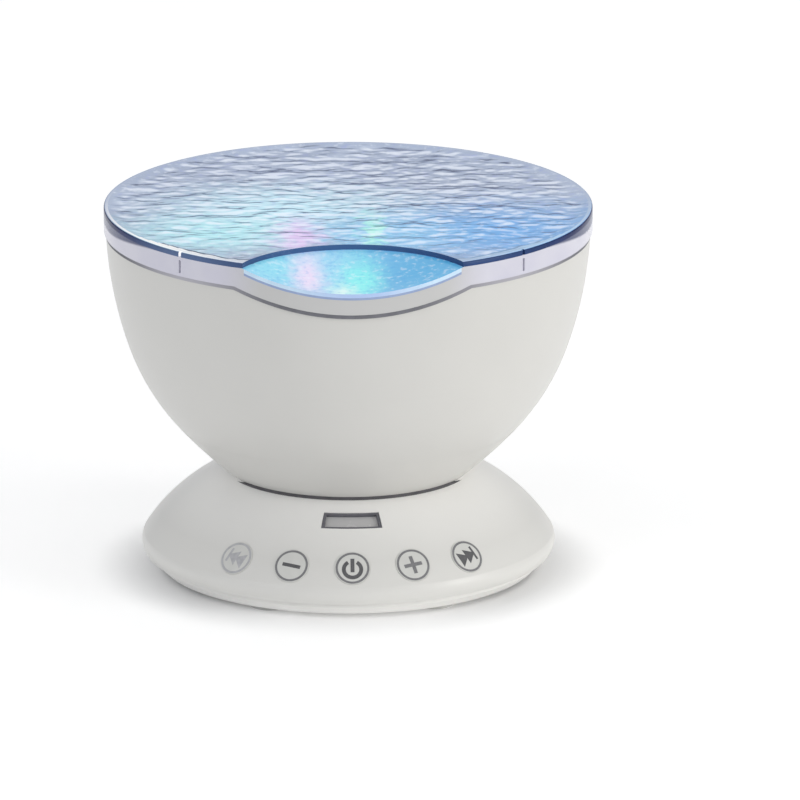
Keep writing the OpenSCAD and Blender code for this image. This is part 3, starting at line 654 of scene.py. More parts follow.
# Smooth margin of the same acrylic, with a painted highlight at the front, where it would catch the light.
MARGIN_HIGHLIGHT = LitAcrylic(
    "margin_painted_highlight", "#A9B6CE", "#A0AEC8", 0.1, ior=1.49, mottle=9.0, relief=0.002, glow=0.2,
    drift=(1.0, 1.0), patches=(
        PaintedPatch("#FFFFFF", (-58.0, -42.0), (60.0, 70.0), 1.0),
        PaintedPatch("#A9CDEE", (58.0, -42.0), (56.0, 66.0), 1.0),
    ),
)
# Foot of the margin, a dark line of painted shade at the front, paler at the front right.
MARGIN_SHADE = LitAcrylic(
    "margin_foot_shade", "#A9B6CE", "#A0AEC8", 0.1, ior=1.49, mottle=9.0, relief=0.002, glow=0.05,
    drift=(4.0, 4.0), patches=(
        PaintedPatch("#34506E", (-44.0, -52.0), (44.0, 44.0), 0.9),
        PaintedPatch("#80AEDC", (46.0, -54.0), (44.0, 44.0), 0.9),
    ),
)
# Thin lower edge of the scoop, with painted light: a pale blue glow, as if it piped the light.
SCOOP_EDGE = LitAcrylic(
    "lit_edge", "#C3DAEB", "#B6D0E5", 0.2, ior=1.49, mottle=6.0, relief=0.002, glow=0.06,
    drift=(2.0, 2.0), patches=(PaintedPatch("#A3B9E2", (2.0, -75.0), (26.0, 20.0), 0.9),),
)
# Underside of the scoop's edge, a blue line above the ring.
SCOOP_LINE = Finish("blue_edge", "#94A5C8", "#889ABF", 0.2, ior=1.49, mottle=6.0, relief=0.002)
# Pad-printed grey ink: matt, and a little uneven where the pad lifted.
INK = Finish("pad_printed_ink", "#505052", "#5C5C5E", 0.55, mottle=1.2, grain=0.4, relief=0.003)
# The same ink in the thin rings, where less of it was laid.
RING_INK = Finish("thin_ink", "#707072", "#7C7C7E", 0.55, mottle=1.2, grain=0.4, relief=0.003)
# The same ink, rubbed pale by use.
PALE_INK = Finish("rubbed_ink", "#A6A6A9", "#B6B6B9", 0.55, mottle=1.2, grain=0.4, relief=0.003)
# Matt white paper of the sweep, glowing evenly, with a painted shadow round the object.
PAPER = LitPaper("white_paper", "#FCFCFC", "#FAFAFA", 0.8, mottle=60.0, relief=0.002, glow=0.28)


class Cut(Enum):
    """Ways to cut one mesh with another."""

    REMOVE = "DIFFERENCE"
    KEEP = "INTERSECT"


def deselect() -> None:
    """Leaves nothing selected."""
    bpy.ops.object.select_all(action="DESELECT")


def hold(piece: Object) -> None:
    """Selects one piece alone and makes it active.

    Args:
        piece: The piece to work on.
    """
    deselect()
    piece.select_set(True)
    bpy.context.view_layer.objects.active = piece


def apply_all(piece: Object) -> None:
    """Applies a piece's modifiers in order.

    Args:
        piece: The piece to work on.
    """
    hold(piece)
    for modifier in list(piece.modifiers):
        bpy.ops.object.modifier_apply(modifier=modifier.name)


def settle(piece: Object) -> None:
    """Puts a piece's place, turn and scale into its mesh.

    Args:
        piece: The piece to work on.
    """
    hold(piece)
    bpy.ops.object.transform_apply(location=True, rotation=True, scale=True)


@contextmanager
def editing(piece: Object) -> Iterator[None]:
    """Opens a piece for editing with all of it selected, and closes it afterwards.

    Args:
        piece: The piece to work on.

    Returns:
        The context, which gives nothing.
    """
    hold(piece)
    bpy.ops.object.mode_set(mode="EDIT")
    bpy.ops.mesh.select_all(action="SELECT")
    yield
    bpy.ops.object.mode_set(mode="OBJECT")


def close_up(piece: Object, merge: float = 0.002 * MM) -> None:
    """Merges a piece's doubles and turns its faces outwards.

    Args:
        piece: The piece to work on.
        merge: Distance within which points are merged.
    """
    with editing(piece):
        bpy.ops.mesh.remove_doubles(threshold=merge)
        bpy.ops.mesh.normals_make_consistent(inside=False)


def soften(piece: Object, angle: float = 35.0) -> None:
    """Shades a piece smooth where its faces meet at less than an angle.

    Args:
        piece: The piece to work on.
        angle: Angle in degrees.
    """
    hold(piece)
    bpy.ops.object.shade_smooth_by_angle(angle=math.radians(angle))


def pick_faces(piece: Object, wanted: Callable[[Vector, Vector], bool]) -> None:
    """Selects faces by their place and normal, and goes into edit mode.

    Args:
        piece: The piece to work on.
        wanted: Says yes or no to a face's centre and normal.
    """
    hold(piece)
    bpy.ops.object.mode_set(mode="EDIT")
    bpy.ops.mesh.select_mode(type="FACE")
    bpy.ops.mesh.select_all(action="DESELECT")
    bpy.ops.object.mode_set(mode="OBJECT")
    for face in piece.data.polygons:
        face.select = wanted(face.center, face.normal)
    bpy.ops.object.mode_set(mode="EDIT")


def paint(piece: Object, finish: Finish, wanted: Callable[[Vector, Vector], bool]) -> None:
    """Gives a piece's chosen faces a finish of their own.

    Args:
        piece: The piece to work on.
        finish: The finish.
        wanted: Says yes or no to a face's centre and normal.
    """
    piece.data.materials.append(finish.material())
    pick_faces(piece, wanted)
    piece.active_material_index = len(piece.data.materials) - 1
    bpy.ops.object.material_slot_assign()
    bpy.ops.object.mode_set(mode="OBJECT")


def carve(piece: Object, tool: Object, cut: Cut) -> None:
    """Cuts a piece with a tool, and throws the tool away.

    Args:
        piece: The piece to cut.
        tool: The mesh to cut it with.
        cut: Which side stays.
    """
    modifier = piece.modifiers.new("carve", "BOOLEAN")
    modifier.operation, modifier.solver, modifier.object = cut.value, "EXACT", tool
    apply_all(piece)
    bpy.data.objects.remove(tool)


def lathe(
    name: str, outline: Sequence[tuple[float, float]], steps: int, axis: tuple[float, float] = (0.0, 0.0),
) -> Object:
    """Spins an outline about an upright axis.

    Args:
        name: Name of the piece.
        outline: Points as radius and height, in metres.
        steps: Steps in a full turn.
        axis: Place of the axis, seen from above.

    Returns:
        The closed piece.
    """
    deselect()
    r, z = outline[0]
    bpy.ops.mesh.primitive_plane_add(size=MM, location=(axis[0] + r, axis[1], z))
    piece = bpy.context.active_object
    piece.name = piece.data.name = name
    settle(piece)
    with editing(piece):
        bpy.ops.mesh.select_mode(type="VERT")
        bpy.ops.mesh.select_all(action="SELECT")
        bpy.ops.mesh.merge(type="CENTER")
        for (r0, z0), (r1, z1) in zip(outline, outline[1:]):
            bpy.ops.mesh.extrude_region_move(TRANSFORM_OT_translate={"value": (r1 - r0, 0.0, z1 - z0)})
        bpy.ops.mesh.select_all(action="SELECT")
        bpy.ops.mesh.spin(steps=steps, angle=2 * math.pi, center=(*axis, 0.0), axis=(0.0, 0.0, 1.0))
    close_up(piece)
    return piece


def spaced(start: float, end: float, count: int) -> list[float]:
    """Gives evenly spaced values with both ends.

    Args:
        start: First value.
        end: Last value.
        count: Number of steps between them.

    Returns:
        The values, one more than the steps.
    """
    return [start + (end - start) * i / count for i in range(count + 1)]


def share_of(value: float) -> float:
    """Holds a value between 0 and 1."""
    return min(max(value, 0.0), 1.0)


def ease(value: float) -> float:
    """Gives a soft step from 0 to 1 for a value from 0 to 1, and holds it beyond."""
    share = share_of(value)
    return share * share * (3 - 2 * share)


def attach(piece: Object, finish: Finish, body: str) -> Object:
    """Dresses an added piece and ties it to its body.

    Args:
        piece: The piece.
        finish: Its finish.
        body: Name of the body it rides on.

    Returns:
        The same piece.
    """
    piece.data.materials.append(finish.material())
    soften(piece)
    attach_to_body(piece, body)
    return piece


def report(piece: Object) -> None:
    """Logs a piece's name, faces and size.

    Args:
        piece: The finished piece.
    """
    size = ", ".join(f"{s / MM:.1f}" for s in piece.dimensions)
    LOG.info("%s: %d faces, %s mm", piece.name, len(piece.data.polygons), size)


@dataclass
class WaveCover:
    """The clear rippled cover with a bite at the front, and the smooth scoop under the bite."""

    body: str = "bowl"
    node: str = "wave_cover"
    bite_r: float = 37.3 * MM
    bite_depth: float = 28.5 * MM
    scoop_fall: float = 6.2 * MM
    scoop_t: float = 1.88 * MM
    scoop_line: float = 0.7 * MM
    scoop_land: float = 2.28 * MM
    land_start: float = -0.3 * MM
    edge: float = 0.5 * MM
    margin_w: float = 1.3 * MM
    bright_w: float = 3.0 * MM
    margin_line: float = 1.1 * MM
    sink: float = 0.6 * MM
    notch_w: float = 1.0 * MM
    notch_depth: float = 1.0 * MM
    notch_angle: float = 44.0
    lip_r: float = 69.4 * MM
    lip_t: float = 1.5 * MM
    lip_depth: float = 3.0 * MM
    wave: float = 5.2 * MM
    wave_stretch: float = 1.5
    swell: float = 1.5 * MM
    # Sets of waves: the share of the wave's size and of the swell that each has.
    sets: tuple[tuple[str, float, float], ...] = (
        ("long_waves", 2.0, 0.36), ("waves", 1.0, 0.43), ("small_waves", 0.45, 0.21),
    )
    fade_in: float = 2.0 * MM
    sink_in: float = 4.0 * MM
    calm: float = 0.35
    calm_y: float = 50.0 * MM
    # Angles from the front at which the margin starts and ends to widen.
    bright_turns: tuple[float, float] = (62.0, 45.0)
    near: float = 0.2 * MM
    edge_near: float = 0.1 * MM
    far: float = 100.0 * MM
    # How far up or down a face of each kind looks: least for the margin, most for notch, edge and side.
    margin_up: float = 0.2
    notch_up: float = 0.1
    edge_up: float = 0.9
    side_up: float = 0.5
    # How far in a notch's and the edge's faces lie, for their size.
    notch_reach: float = 1.2
    edge_reach: float = 1.1
    edge_turns: tuple[float, ...] = (30.0, 60.0, 90.0)
    rings: int = 128
    turns: int = 600
    dish_rings: int = 40
    dish_turns: int = 240
    rim_turns: int = 720
    bite_turns: int = 256

    def __post_init__(self) -> None:
        """Takes the cover's place and radius from the frame."""
        low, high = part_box(self.node)
        self.rim_r = (high.x - low.x) / 2
        self.top = high.z
        self.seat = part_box("rim_ring")[1].z
        self.bite_y = -(self.rim_r - self.bite_depth + self.bite_r)

    def off_bite(self, point: Vector) -> float:
        """Gives a point's distance outside the bite's edge, seen from above."""
        return math.hypot(point.x, point.y - self.bite_y) - self.bite_r

    def bright_r(self, at: Vector) -> float:
        """Gives the inner radius of the margin's painted highlight, which is broader at the front.

        Args:
            at: A point near the margin.

        Returns:
            The radius there.
        """
        first, last = self.bright_turns
        share = (first - abs(math.degrees(math.atan2(at.x, -at.y)))) / (first - last)
        return self.rim_r - self.margin_w - self.bright_w * share_of(share)

    def is_bright(self, at: Vector, way: Vector) -> bool:
        """Says whether a face of the sheet belongs to its margin or left notch, in painted highlight.

        Args:
            at: The face's middle.
            way: The face's normal.

        Returns:
            True for the margin's top and the walls of the left notch.
        """
        r = at.xy.length
        on_margin = self.bright_r(at) < r < self.rim_r - self.edge
        on_top = on_margin and at.z > self.seat + self.edge and way.z > self.margin_up
        at_notch = self.rim_r - self.notch_reach * self.notch_depth < r < self.rim_r - self.near
        in_notch = at_notch and abs(way.z) < self.notch_up and at.x < 0.0
        return (on_top or in_notch) and self.off_bite(at) > self.near

    def is_edge(self, at: Vector, way: Vector) -> bool:
        """Says whether a face belongs to the sheet's upright edge, at the rim or in the bite."""
        at_rim = at.xy.length > self.rim_r - self.edge_reach * self.edge
        return abs(way.z) < self.edge_up and (at_rim or abs(self.off_bite(at)) < self.edge_near)

    def is_side(self, way: Vector) -> bool:
        """Says whether a face of the scoop stands upright, by its normal."""
        return abs(way.z) < self.side_up

    def is_foot(self, at: Vector, way: Vector) -> bool:
        """Says whether a face lies along the inside of the margin's broad part.

        Args:
            at: The face's middle.
            way: The face's normal.

        Returns:
            True for the painted shade line at the margin's foot.
        """
        inner = self.bright_r(at)
        broad = inner < self.rim_r - self.margin_w - 0.5 * self.bright_w
        along = 0.0 < inner - at.xy.length < self.margin_line
        return broad and along and way.z > self.side_up and self.off_bite(at) > 0.0

    def sheet(self) -> Object:
        """Models the rippled sheet with its edge, lip and bite.

        Returns:
            The sheet.
        """
        flat_r = self.rim_r - self.edge
        face_r = self.rim_r - self.margin_w
        outline = [(face_r * i / self.rings, self.top) for i in range(self.rings + 1)] + [(flat_r, self.top)]
        for turn in self.edge_turns:
            a = math.radians(turn)
            outline.append((flat_r + self.edge * math.sin(a), self.top - self.edge * (1 - math.cos(a))))
        lip_in, lip_z = self.lip_r - self.lip_t, self.seat - self.lip_depth
        outline += [(self.rim_r, self.seat), (self.lip_r, self.seat), (self.lip_r, lip_z)]
        outline += [(lip_in, lip_z), (lip_in, self.seat), (0.0, self.seat)]
        sheet = lathe("rippled_cover", outline, self.turns)
        deselect()
        bpy.ops.mesh.primitive_cylinder_add(
            vertices=self.bite_turns, radius=self.bite_r, depth=self.far,
            location=(0.0, self.bite_y, self.top),
        )
        cutters = [bpy.context.active_object]
        for side in (-1, 1):
            turn = math.radians(side * self.notch_angle - 90.0)
            place = (self.rim_r * math.cos(turn), self.rim_r * math.sin(turn), self.top)
            deselect()
            bpy.ops.mesh.primitive_cube_add(size=1.0, location=place)
            cutters.append(bpy.context.active_object)
            cutters[-1].scale = (2 * self.notch_depth, self.notch_w, self.far)
            cutters[-1].rotation_euler.z = turn
        for cutter in cutters:
            cutter.select_set(True)
        bpy.context.view_layer.objects.active = cutters[0]
        bpy.ops.object.join()
        carve(sheet, cutters[0], Cut.REMOVE)
        self.ripple(sheet)
        return sheet

    def ripple(self, sheet: Object) -> None:
        """Presses the waves into the sheet's face, fading out towards its edges.

        The attribute lean keeps how far each point of the waves leans to the back.

        Args:
            sheet: The sheet to work on.
        """
        group = sheet.vertex_groups.new(name="face")
        depth = [0.0] * len(sheet.data.vertices)
        for vertex in sheet.data.vertices:
            clear = min(self.rim_r - self.margin_w - vertex.co.xy.length, self.off_bite(vertex.co))
            if abs(vertex.co.z - self.top) < TINY and clear > 0.0:
                depth[vertex.index] = min(clear / self.sink_in, 1.0)
                group.add([vertex.index], ease(clear / self.fade_in), "REPLACE")
        sheet.scale.x = 1 / self.wave_stretch
        settle(sheet)
        for name, size, part in self.sets:
            texture = bpy.data.textures.new(name, "CLOUDS")
            texture.noise_scale, texture.noise_depth = self.wave * size, 0
            texture.noise_basis = "IMPROVED_PERLIN"
            press = sheet.modifiers.new(name, "DISPLACE")
            press.texture, press.vertex_group, press.direction = texture, group.name, "Z"
            press.mid_level, press.strength = 0.5, self.swell * part
        apply_all(sheet)
        sheet.scale.x = self.wave_stretch
        settle(sheet)
        sheet.vertex_groups.clear()
        lean = [vertex.normal.y * depth[vertex.index] for vertex in sheet.data.vertices]
        face = [value for value, share in zip(lean, depth) if share == 1.0]
        spread = math.sqrt(sum(value * value for value in face) / len(face))
        note = sheet.data.attributes.new("lean", "FLOAT", "POINT")
        front = [share_of(-vertex.co.y / self.calm_y) for vertex in sheet.data.vertices]
        calmed = [value * (1.0 - self.calm * share) / spread for value, share in zip(lean, front)]
        note.data.foreach_set("value", calmed)
        for vertex in sheet.data.vertices:
            vertex.co.z = min(vertex.co.z - self.sink * depth[vertex.index], self.top)
        LOG.info("waves lean by %.3f", spread)

    def dish(self, name: str, start: float, end: float) -> Object:
        """Models a layer of the smooth scoop, cut off at the rim.

        Args:
            name: Name of the piece.
            start: Depth of the layer's upper face under the scoop's surface.
            end: Depth of its lower face.

        Returns:
            The layer.
        """
        to_rim = -self.bite_y - self.rim_r
        rise = (self.bite_r ** 2 - to_rim ** 2 - self.scoop_fall ** 2) / (2 * self.scoop_fall)
        ball_r = math.hypot(rise, self.bite_r)
        ball_z = self.seat + rise
        reach = self.bite_r + self.scoop_land
        places = spaced(0.0, reach, self.dish_rings)
        outline = [(d, min(ball_z - math.sqrt((ball_r + start) ** 2 - d * d), self.seat)) for d in places]
        outline += [(d, ball_z - math.sqrt((ball_r + end) ** 2 - d * d)) for d in reversed(places)]
        dish = lathe(name, outline, self.dish_turns, (0.0, self.bite_y))
        deselect()
        bpy.ops.mesh.primitive_cylinder_add(
            vertices=self.rim_turns, radius=self.rim_r, depth=self.far, location=(0.0, 0.0, self.top),
        )
        carve(dish, bpy.context.active_object, Cut.KEEP)
        return dish

    def build(self) -> list[Object]:
        """Models and dresses the cover.

        Returns:
            The sheet, the scoop and the scoop's under layer.
        """
        sheet = self.sheet()
        sheet.data.materials.append(RIPPLED.material())
        paint(sheet, FINISHES[Slot.COVER_ACRYLIC], self.is_edge)
        # Painted highlight on the margin, and painted shade along its foot.
        paint(sheet, MARGIN_HIGHLIGHT, self.is_bright)
        paint(sheet, MARGIN_SHADE, self.is_foot)
        split = self.scoop_t - self.scoop_line
        dish, under = self.dish("scoop_dish", 0.0, split), self.dish("scoop_line", split, self.scoop_t)
        for layer, face, edge in ((dish, SCOOPED, SCOOP_EDGE), (under, SCOOP_LINE, SCOOP_LINE)):
            layer.data.materials.append(face.material())
            paint(layer, edge, lambda at, way: self.is_side(way) and self.off_bite(at) < self.land_start)
            milky = FINISHES[Slot.RIM_ACRYLIC]
            paint(layer, milky, lambda at, way: self.is_side(way) and self.off_bite(at) > self.land_start)
        for piece in (sheet, dish, under):
            soften(piece)
            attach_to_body(piece, self.body)
            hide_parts(self.node)
        return [sheet, dish, under]


@dataclass
class RimShadeRing:
    """The thin dark ring of painted shade in the joint between bowl and ring, which follows the dip at the
    front.
    """

    body: str = "bowl"
    shade_t: float = 1.2 * MM
    shade_w: float = 0.8 * MM
    proud: float = 0.12 * MM
    dip_half_w: float = 36.0 * MM
    dip_depth: float = 6.9 * MM
    ring_h: float = 6.0 * MM
    ring_out: float = 0.6 * MM
    turns: int = 720

    def dip(self, at: Vector) -> float:
        """Gives how far the bowl's edge lies below its level part.

        Args:
            at: A point on the edge.

        Returns:
            The depth of the dip there.
        """
        if at.y > 0 or abs(at.x) > self.dip_half_w:
            return 0.0
        r = (self.dip_half_w ** 2 + self.dip_depth ** 2) / (2 * self.dip_depth)
        return math.sqrt(r * r - at.x * at.x) - (r - self.dip_depth)

    def build(self) -> list[Object]:
        """Models and dresses the ring of painted shade.

        Returns:
            The ring alone.
        """
        low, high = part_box("rim_ring")
        edge_r = (high.x - low.x) / 2 - self.ring_out
        edge_z = high.z - self.ring_h
        out, inner, low_z = edge_r + self.proud, edge_r - self.shade_w, edge_z - self.shade_t
        outline = [(inner, edge_z), (out, edge_z), (out, low_z), (inner, low_z), (inner, edge_z)]
        shade_ring = lathe("rim_shade_ring", outline, self.turns)
        for vertex in shade_ring.data.vertices:
            vertex.co.z -= self.dip(vertex.co)
        return [attach(shade_ring, RIM_SHADE, self.body)]


@dataclass(frozen=True)
class Dome:
    """The round profile of the base's dome, as the part's source draws it."""

    middle_r: float = 18.286 * MM
    middle_z: float = -17.968 * MM
    r: float = 53.5 * MM
    rings: int = 16

    def point(self, angle: float, depth: float = 0.0) -> tuple[float, float]:
        """Gives a point of the profile.

        Args:
            angle: Angle up the profile, in degrees.
            depth: Depth below the dome's face.

        Returns:
            Radius and height of the point.
        """
        a = math.radians(angle)
        return self.middle_r + (self.r - depth) * math.cos(a), self.middle_z + (self.r - depth) * math.sin(a)

    def band(
        self, name: str, angles: tuple[float, float], depths: tuple[float, float], steps: int = 360,
    ) -> Object:
        """Models a ring that follows the dome.

        Args:
            name: Name of the piece.
            angles: Lowest and highest angle up the profile, in degrees.
            depths: Depth of its upper and lower face.
            steps: Steps in a full turn.

        Returns:
            The closed ring.
        """
        places = spaced(*angles, self.rings)
        outline = [self.point(a, depths[0]) for a in places]
        outline += [self.point(a, depths[1]) for a in reversed(places)]
        return lathe(name, outline + outline[:1], steps)


@dataclass
class CupCollar:
    """The thin lip that hugs the bowl in its cup, and under it a dark line of painted shade, thinner at the
    sides.
    """

    body: str = "base"
    ball_r: float = 71.6 * MM
    ball_z: float = 95.0 * MM
    clear: float = 0.012 * MM
    top_r: float = 53.0 * MM
    foot_r: float = 36.85 * MM
    foot_z: float = 31.5 * MM
    line_r: float = 38.3 * MM
    line_in: float = 36.4 * MM
    line_top: float = 32.9 * MM
    line_low: float = 31.4 * MM
    bend: float = 11.5 * MM
    taper: float = 1.35 * MM
    taper_from: float = 0.74
    taper_to: float = 0.93
    rings: int = 16
    turns: int = 360

    def on_bowl(self, r: float) -> tuple[float, float]:
        """Gives a point just clear of the bowl at a radius."""
        return r, self.ball_z - math.sqrt((self.ball_r + self.clear) ** 2 - r * r)

    def lip(self) -> Object:
        """Models the lip, which leaves the bowl's curve for a flatter one, down to its foot.

        Returns:
            The lip.
        """
        gap_r = self.ball_r + self.clear
        in_r = math.sqrt(gap_r ** 2 - (self.ball_z - self.foot_z) ** 2)
        inner = [self.on_bowl(r) for r in spaced(in_r, self.top_r, self.rings)]
        slope = math.asin(self.top_r / gap_r)
        top = Vector(inner[-1])
        knee = top - Vector((math.cos(slope), math.sin(slope))) * self.bend
        foot = Vector((self.foot_r, self.foot_z))
        outer = [top.lerp(knee, t).lerp(knee.lerp(foot, t), t) for t in spaced(0.0, 1.0, self.rings)[1:]]
        return lathe("cup_collar", inner + [tuple(p) for p in outer] + inner[:1], self.turns)

    def build(self) -> list[Object]:
        """Models and dresses the lip and its line.

        Returns:
            The lip and the line.
        """
        lip = self.lip()
        outline = [(self.line_in, self.line_top), (self.line_r, self.line_top), (self.line_r, self.line_low)]
        line = lathe("cup_line", outline + outline[:1], self.turns)
        for vertex in line.data.vertices:
            aside = abs(vertex.co.x) / vertex.co.xy.length - self.taper_from
            vertex.co.z -= self.taper * ease(aside / (self.taper_to - self.taper_from))
        return [
            attach(lip, FINISHES[Slot.WHITE_ABS], self.body),
            attach(line, CUP_SHADE, self.body),
        ]


@dataclass
class WindowFrame:
    """The dark frame round the sunk window above the keys: painted shade on the recess's walls."""

    body: str = "base"
    dome: Dome = Dome()
    angle: float = 58.4
    width: float = 17.76 * MM
    height: float = 6.56 * MM
    wall: float = 0.8 * MM
    top: float = 0.25 * MM
    floor: float = 1.18 * MM

    def block(self, name: str, inset: float, depths: tuple[float, float]) -> Object:
        """Models a block of the window's outline.

        Args:
            name: Name of the piece.
            inset: How far its sides stand inside the opening.
            depths: Depth of its upper and lower face.

        Returns:
            The block.
        """
        half = math.degrees((self.height / 2 - inset) / self.dome.r)
        block = self.dome.band(name, (self.angle - half, self.angle + half), depths)
        turn = math.asin((self.width / 2 - inset) / self.dome.point(self.angle)[0])
        for side in (-1, 1):
            way = (side * math.cos(turn), math.sin(turn), 0.0)
            with editing(block):
                bpy.ops.mesh.bisect(plane_co=(0.0, 0.0, 0.0), plane_no=way, use_fill=True, clear_outer=True)
        close_up(block)
        return block

    def build(self) -> list[Object]:
        """Models and dresses the frame.

        Returns:
            The frame alone.
        """
        rim = self.block("window_frame", 0.0, (self.top, self.floor))
        opening = self.block("opening", self.wall, (self.top - self.wall, self.floor + self.wall))
        carve(rim, opening, Cut.REMOVE)
        return [attach(rim, WINDOW_SHADE, self.body)]


class Sign(Enum):
    """Signs on the keys, by the key that carries each, from left to right."""

    PREVIOUS = "key_previous"
    MINUS = "key_minus"
    POWER = "key_power"
    PLUS = "key_plus"
    NEXT = "key_next"


@dataclass
class KeyPrint:
    """The printed ring and sign on one key, and the soft lip that closes the gap round the key."""

    sign: Sign
    base: str = "base"
    dome: Dome = Dome()
    lean: float = 7.0
    lip_in: float = 5.43 * MM
    lip_out: float = 5.66 * MM
    lip_t: float = 0.9 * MM
    ring_r: float = 5.15 * MM
    ring_w: float = 0.68 * MM
    bar_len: float = 5.8 * MM
    bar_w: float = 1.15 * MM
    power_r: float = 3.25 * MM
    power_w: float = 1.2 * MM
    power_drop: float = 0.5 * MM
    power_bar: float = 4.5 * MM
    power_bar_y: float = 0.8 * MM
    power_open: float = 30.0
    arrow: float = 2.9 * MM
    arrow_slim: float = 0.8
    arrow_x: tuple[float, float] = (-1.95 * MM, 0.75 * MM)
    stop_w: float = 0.75 * MM
    stop_h: float = 4.6 * MM
    stop_x: float = 2.75 * MM
    lift: float = 0.03 * MM
    film: float = 0.06 * MM
    above: float = 4.0 * MM
    lip_reach: float = 4.0 * MM
    lip_sink: float = 0.01 * MM
    lip_angles: tuple[float, float] = (26.0, 54.0)
    ring_turns: int = 72
    lip_turns: int = 96
    skin_turns: int = 180
    bar_cuts: int = 7
    arrow_cuts: int = 4

    def ring(self, r: float, width: float, opening: float = 0.0) -> Object:
        """Models a flat ring, open at the top by an angle each way.

        Args:
            r: Outer radius.
            width: Width of the line.
            opening: Half of the opening, in degrees.

        Returns:
            The ring, above the key.
        """
        deselect()
        place = (0.0, 0.0, self.above)
        bpy.ops.mesh.primitive_circle_add(
            vertices=self.ring_turns, radius=r, fill_type="NGON", location=place,
        )
        ring = bpy.context.active_object
        settle(ring)
        with editing(ring):
            bpy.ops.mesh.inset(thickness=width)
            bpy.ops.mesh.delete(type="FACE")
        if opening:
            limit = math.cos(math.radians(opening))
            pick_faces(ring, lambda at, way: at.y > limit * at.xy.length)
            bpy.ops.mesh.delete(type="FACE")
            bpy.ops.object.mode_set(mode="OBJECT")
        return ring

    def bar(self, length: float, height: float, x: float = 0.0, y: float = 0.0) -> Object:
        """Models a flat bar.

        Args:
            length: Size from left to right.
            height: Size from bottom to top.
            x: Place of its middle, to the right.
            y: Place of its middle, upwards.

        Returns:
            The bar, above the key.
        """
        deselect()
        bpy.ops.mesh.primitive_plane_add(size=1.0, location=(x, y, self.above))
        bar = bpy.context.active_object
        bar.scale = (length, height, 1.0)
        settle(bar)
        with editing(bar):
            bpy.ops.mesh.subdivide(number_cuts=self.bar_cuts)
        return bar

    def triangle(self, x: float, way: int) -> Object:
        """Models a flat triangle that points left or right.

        Args:
            x: Place of its middle, to the right.
            way: 1 to point right, -1 to point left.

        Returns:
            The triangle, above the key.
        """
        deselect()
        place = (x, 0.0, self.above)
        bpy.ops.mesh.primitive_circle_add(vertices=3, radius=self.arrow, fill_type="TRIFAN", location=place)
        arrow = bpy.context.active_object
        arrow.rotation_euler.z = -way * math.pi / 2
        arrow.scale = (1.0, self.arrow_slim, 1.0)
        settle(arrow)
        with editing(arrow):
            bpy.ops.mesh.subdivide(number_cuts=self.arrow_cuts)
        return arrow

    def strokes(self) -> list[Object]:
        """Models the sign's strokes.

        Returns:
            The flat strokes, above the key.
        """
        if self.sign is Sign.MINUS:
            return [self.bar(self.bar_len, self.bar_w)]
        if self.sign is Sign.PLUS:
            half = (self.bar_len - self.bar_w) / 2
            place = (half + self.bar_w) / 2
            arms = [self.bar(self.bar_w, half, 0.0, side * place) for side in (-1, 1)]
            return [self.bar(self.bar_len, self.bar_w)] + arms
        if self.sign is Sign.POWER:
            loop = self.ring(self.power_r, self.power_w, self.power_open)
            loop.location.y = -self.power_drop
            settle(loop)
            return [loop, self.bar(self.power_w, self.power_bar, 0.0, self.power_bar_y)]
        way = 1 if self.sign is Sign.NEXT else -1
        arrows = [self.triangle(way * x, way) for x in self.arrow_x]
        return arrows + [self.bar(self.stop_w, self.stop_h, way * self.stop_x)]

    def frame_of_key(self) -> Matrix:
        """Gives the key's own axes: right, up the dome and out of the dome.

        Returns:
            The matrix from the key's axes to the frame.
        """
        joint = next(j for j in frame["joints"] if j["child"] == self.sign.value)
        out = -Vector(joint["axis"]).normalized()
        right = Vector((0.0, 0.0, 1.0)).cross(out).normalized()
        up = out.cross(right)
        points = [v.co for v in frame["nodes"][self.sign.value].data.vertices]
        low = min(p.dot(out) for p in points)
        foot = [p for p in points if p.dot(out) < low + TINY]
        middle = out * max(p.dot(out) for p in points)
        for way in (right, up):
            reach = [p.dot(way) for p in foot]
            middle += way * (min(reach) + max(reach)) / 2
        return Matrix.Translation(middle) @ Matrix((right, up, out)).transposed().to_4x4()

    def lip(self) -> Object:
        """Models the lip round the key, flush with the dome.

        Returns:
            The lip.
        """
        reach = self.lip_reach
        outline = [(self.lip_in, -reach), (self.lip_out, -reach), (self.lip_out, reach), (self.lip_in, reach)]
        lip = lathe(self.sign.value.replace("key_", "lip_"), outline + outline[:1], self.lip_turns)
        lip.matrix_world = self.frame_of_key()
        settle(lip)
        skin = self.dome.band("skin", self.lip_angles, (self.lip_sink, self.lip_t), self.skin_turns)
        carve(lip, skin, Cut.KEEP)
        return attach(lip, BASE_ABS, self.base)

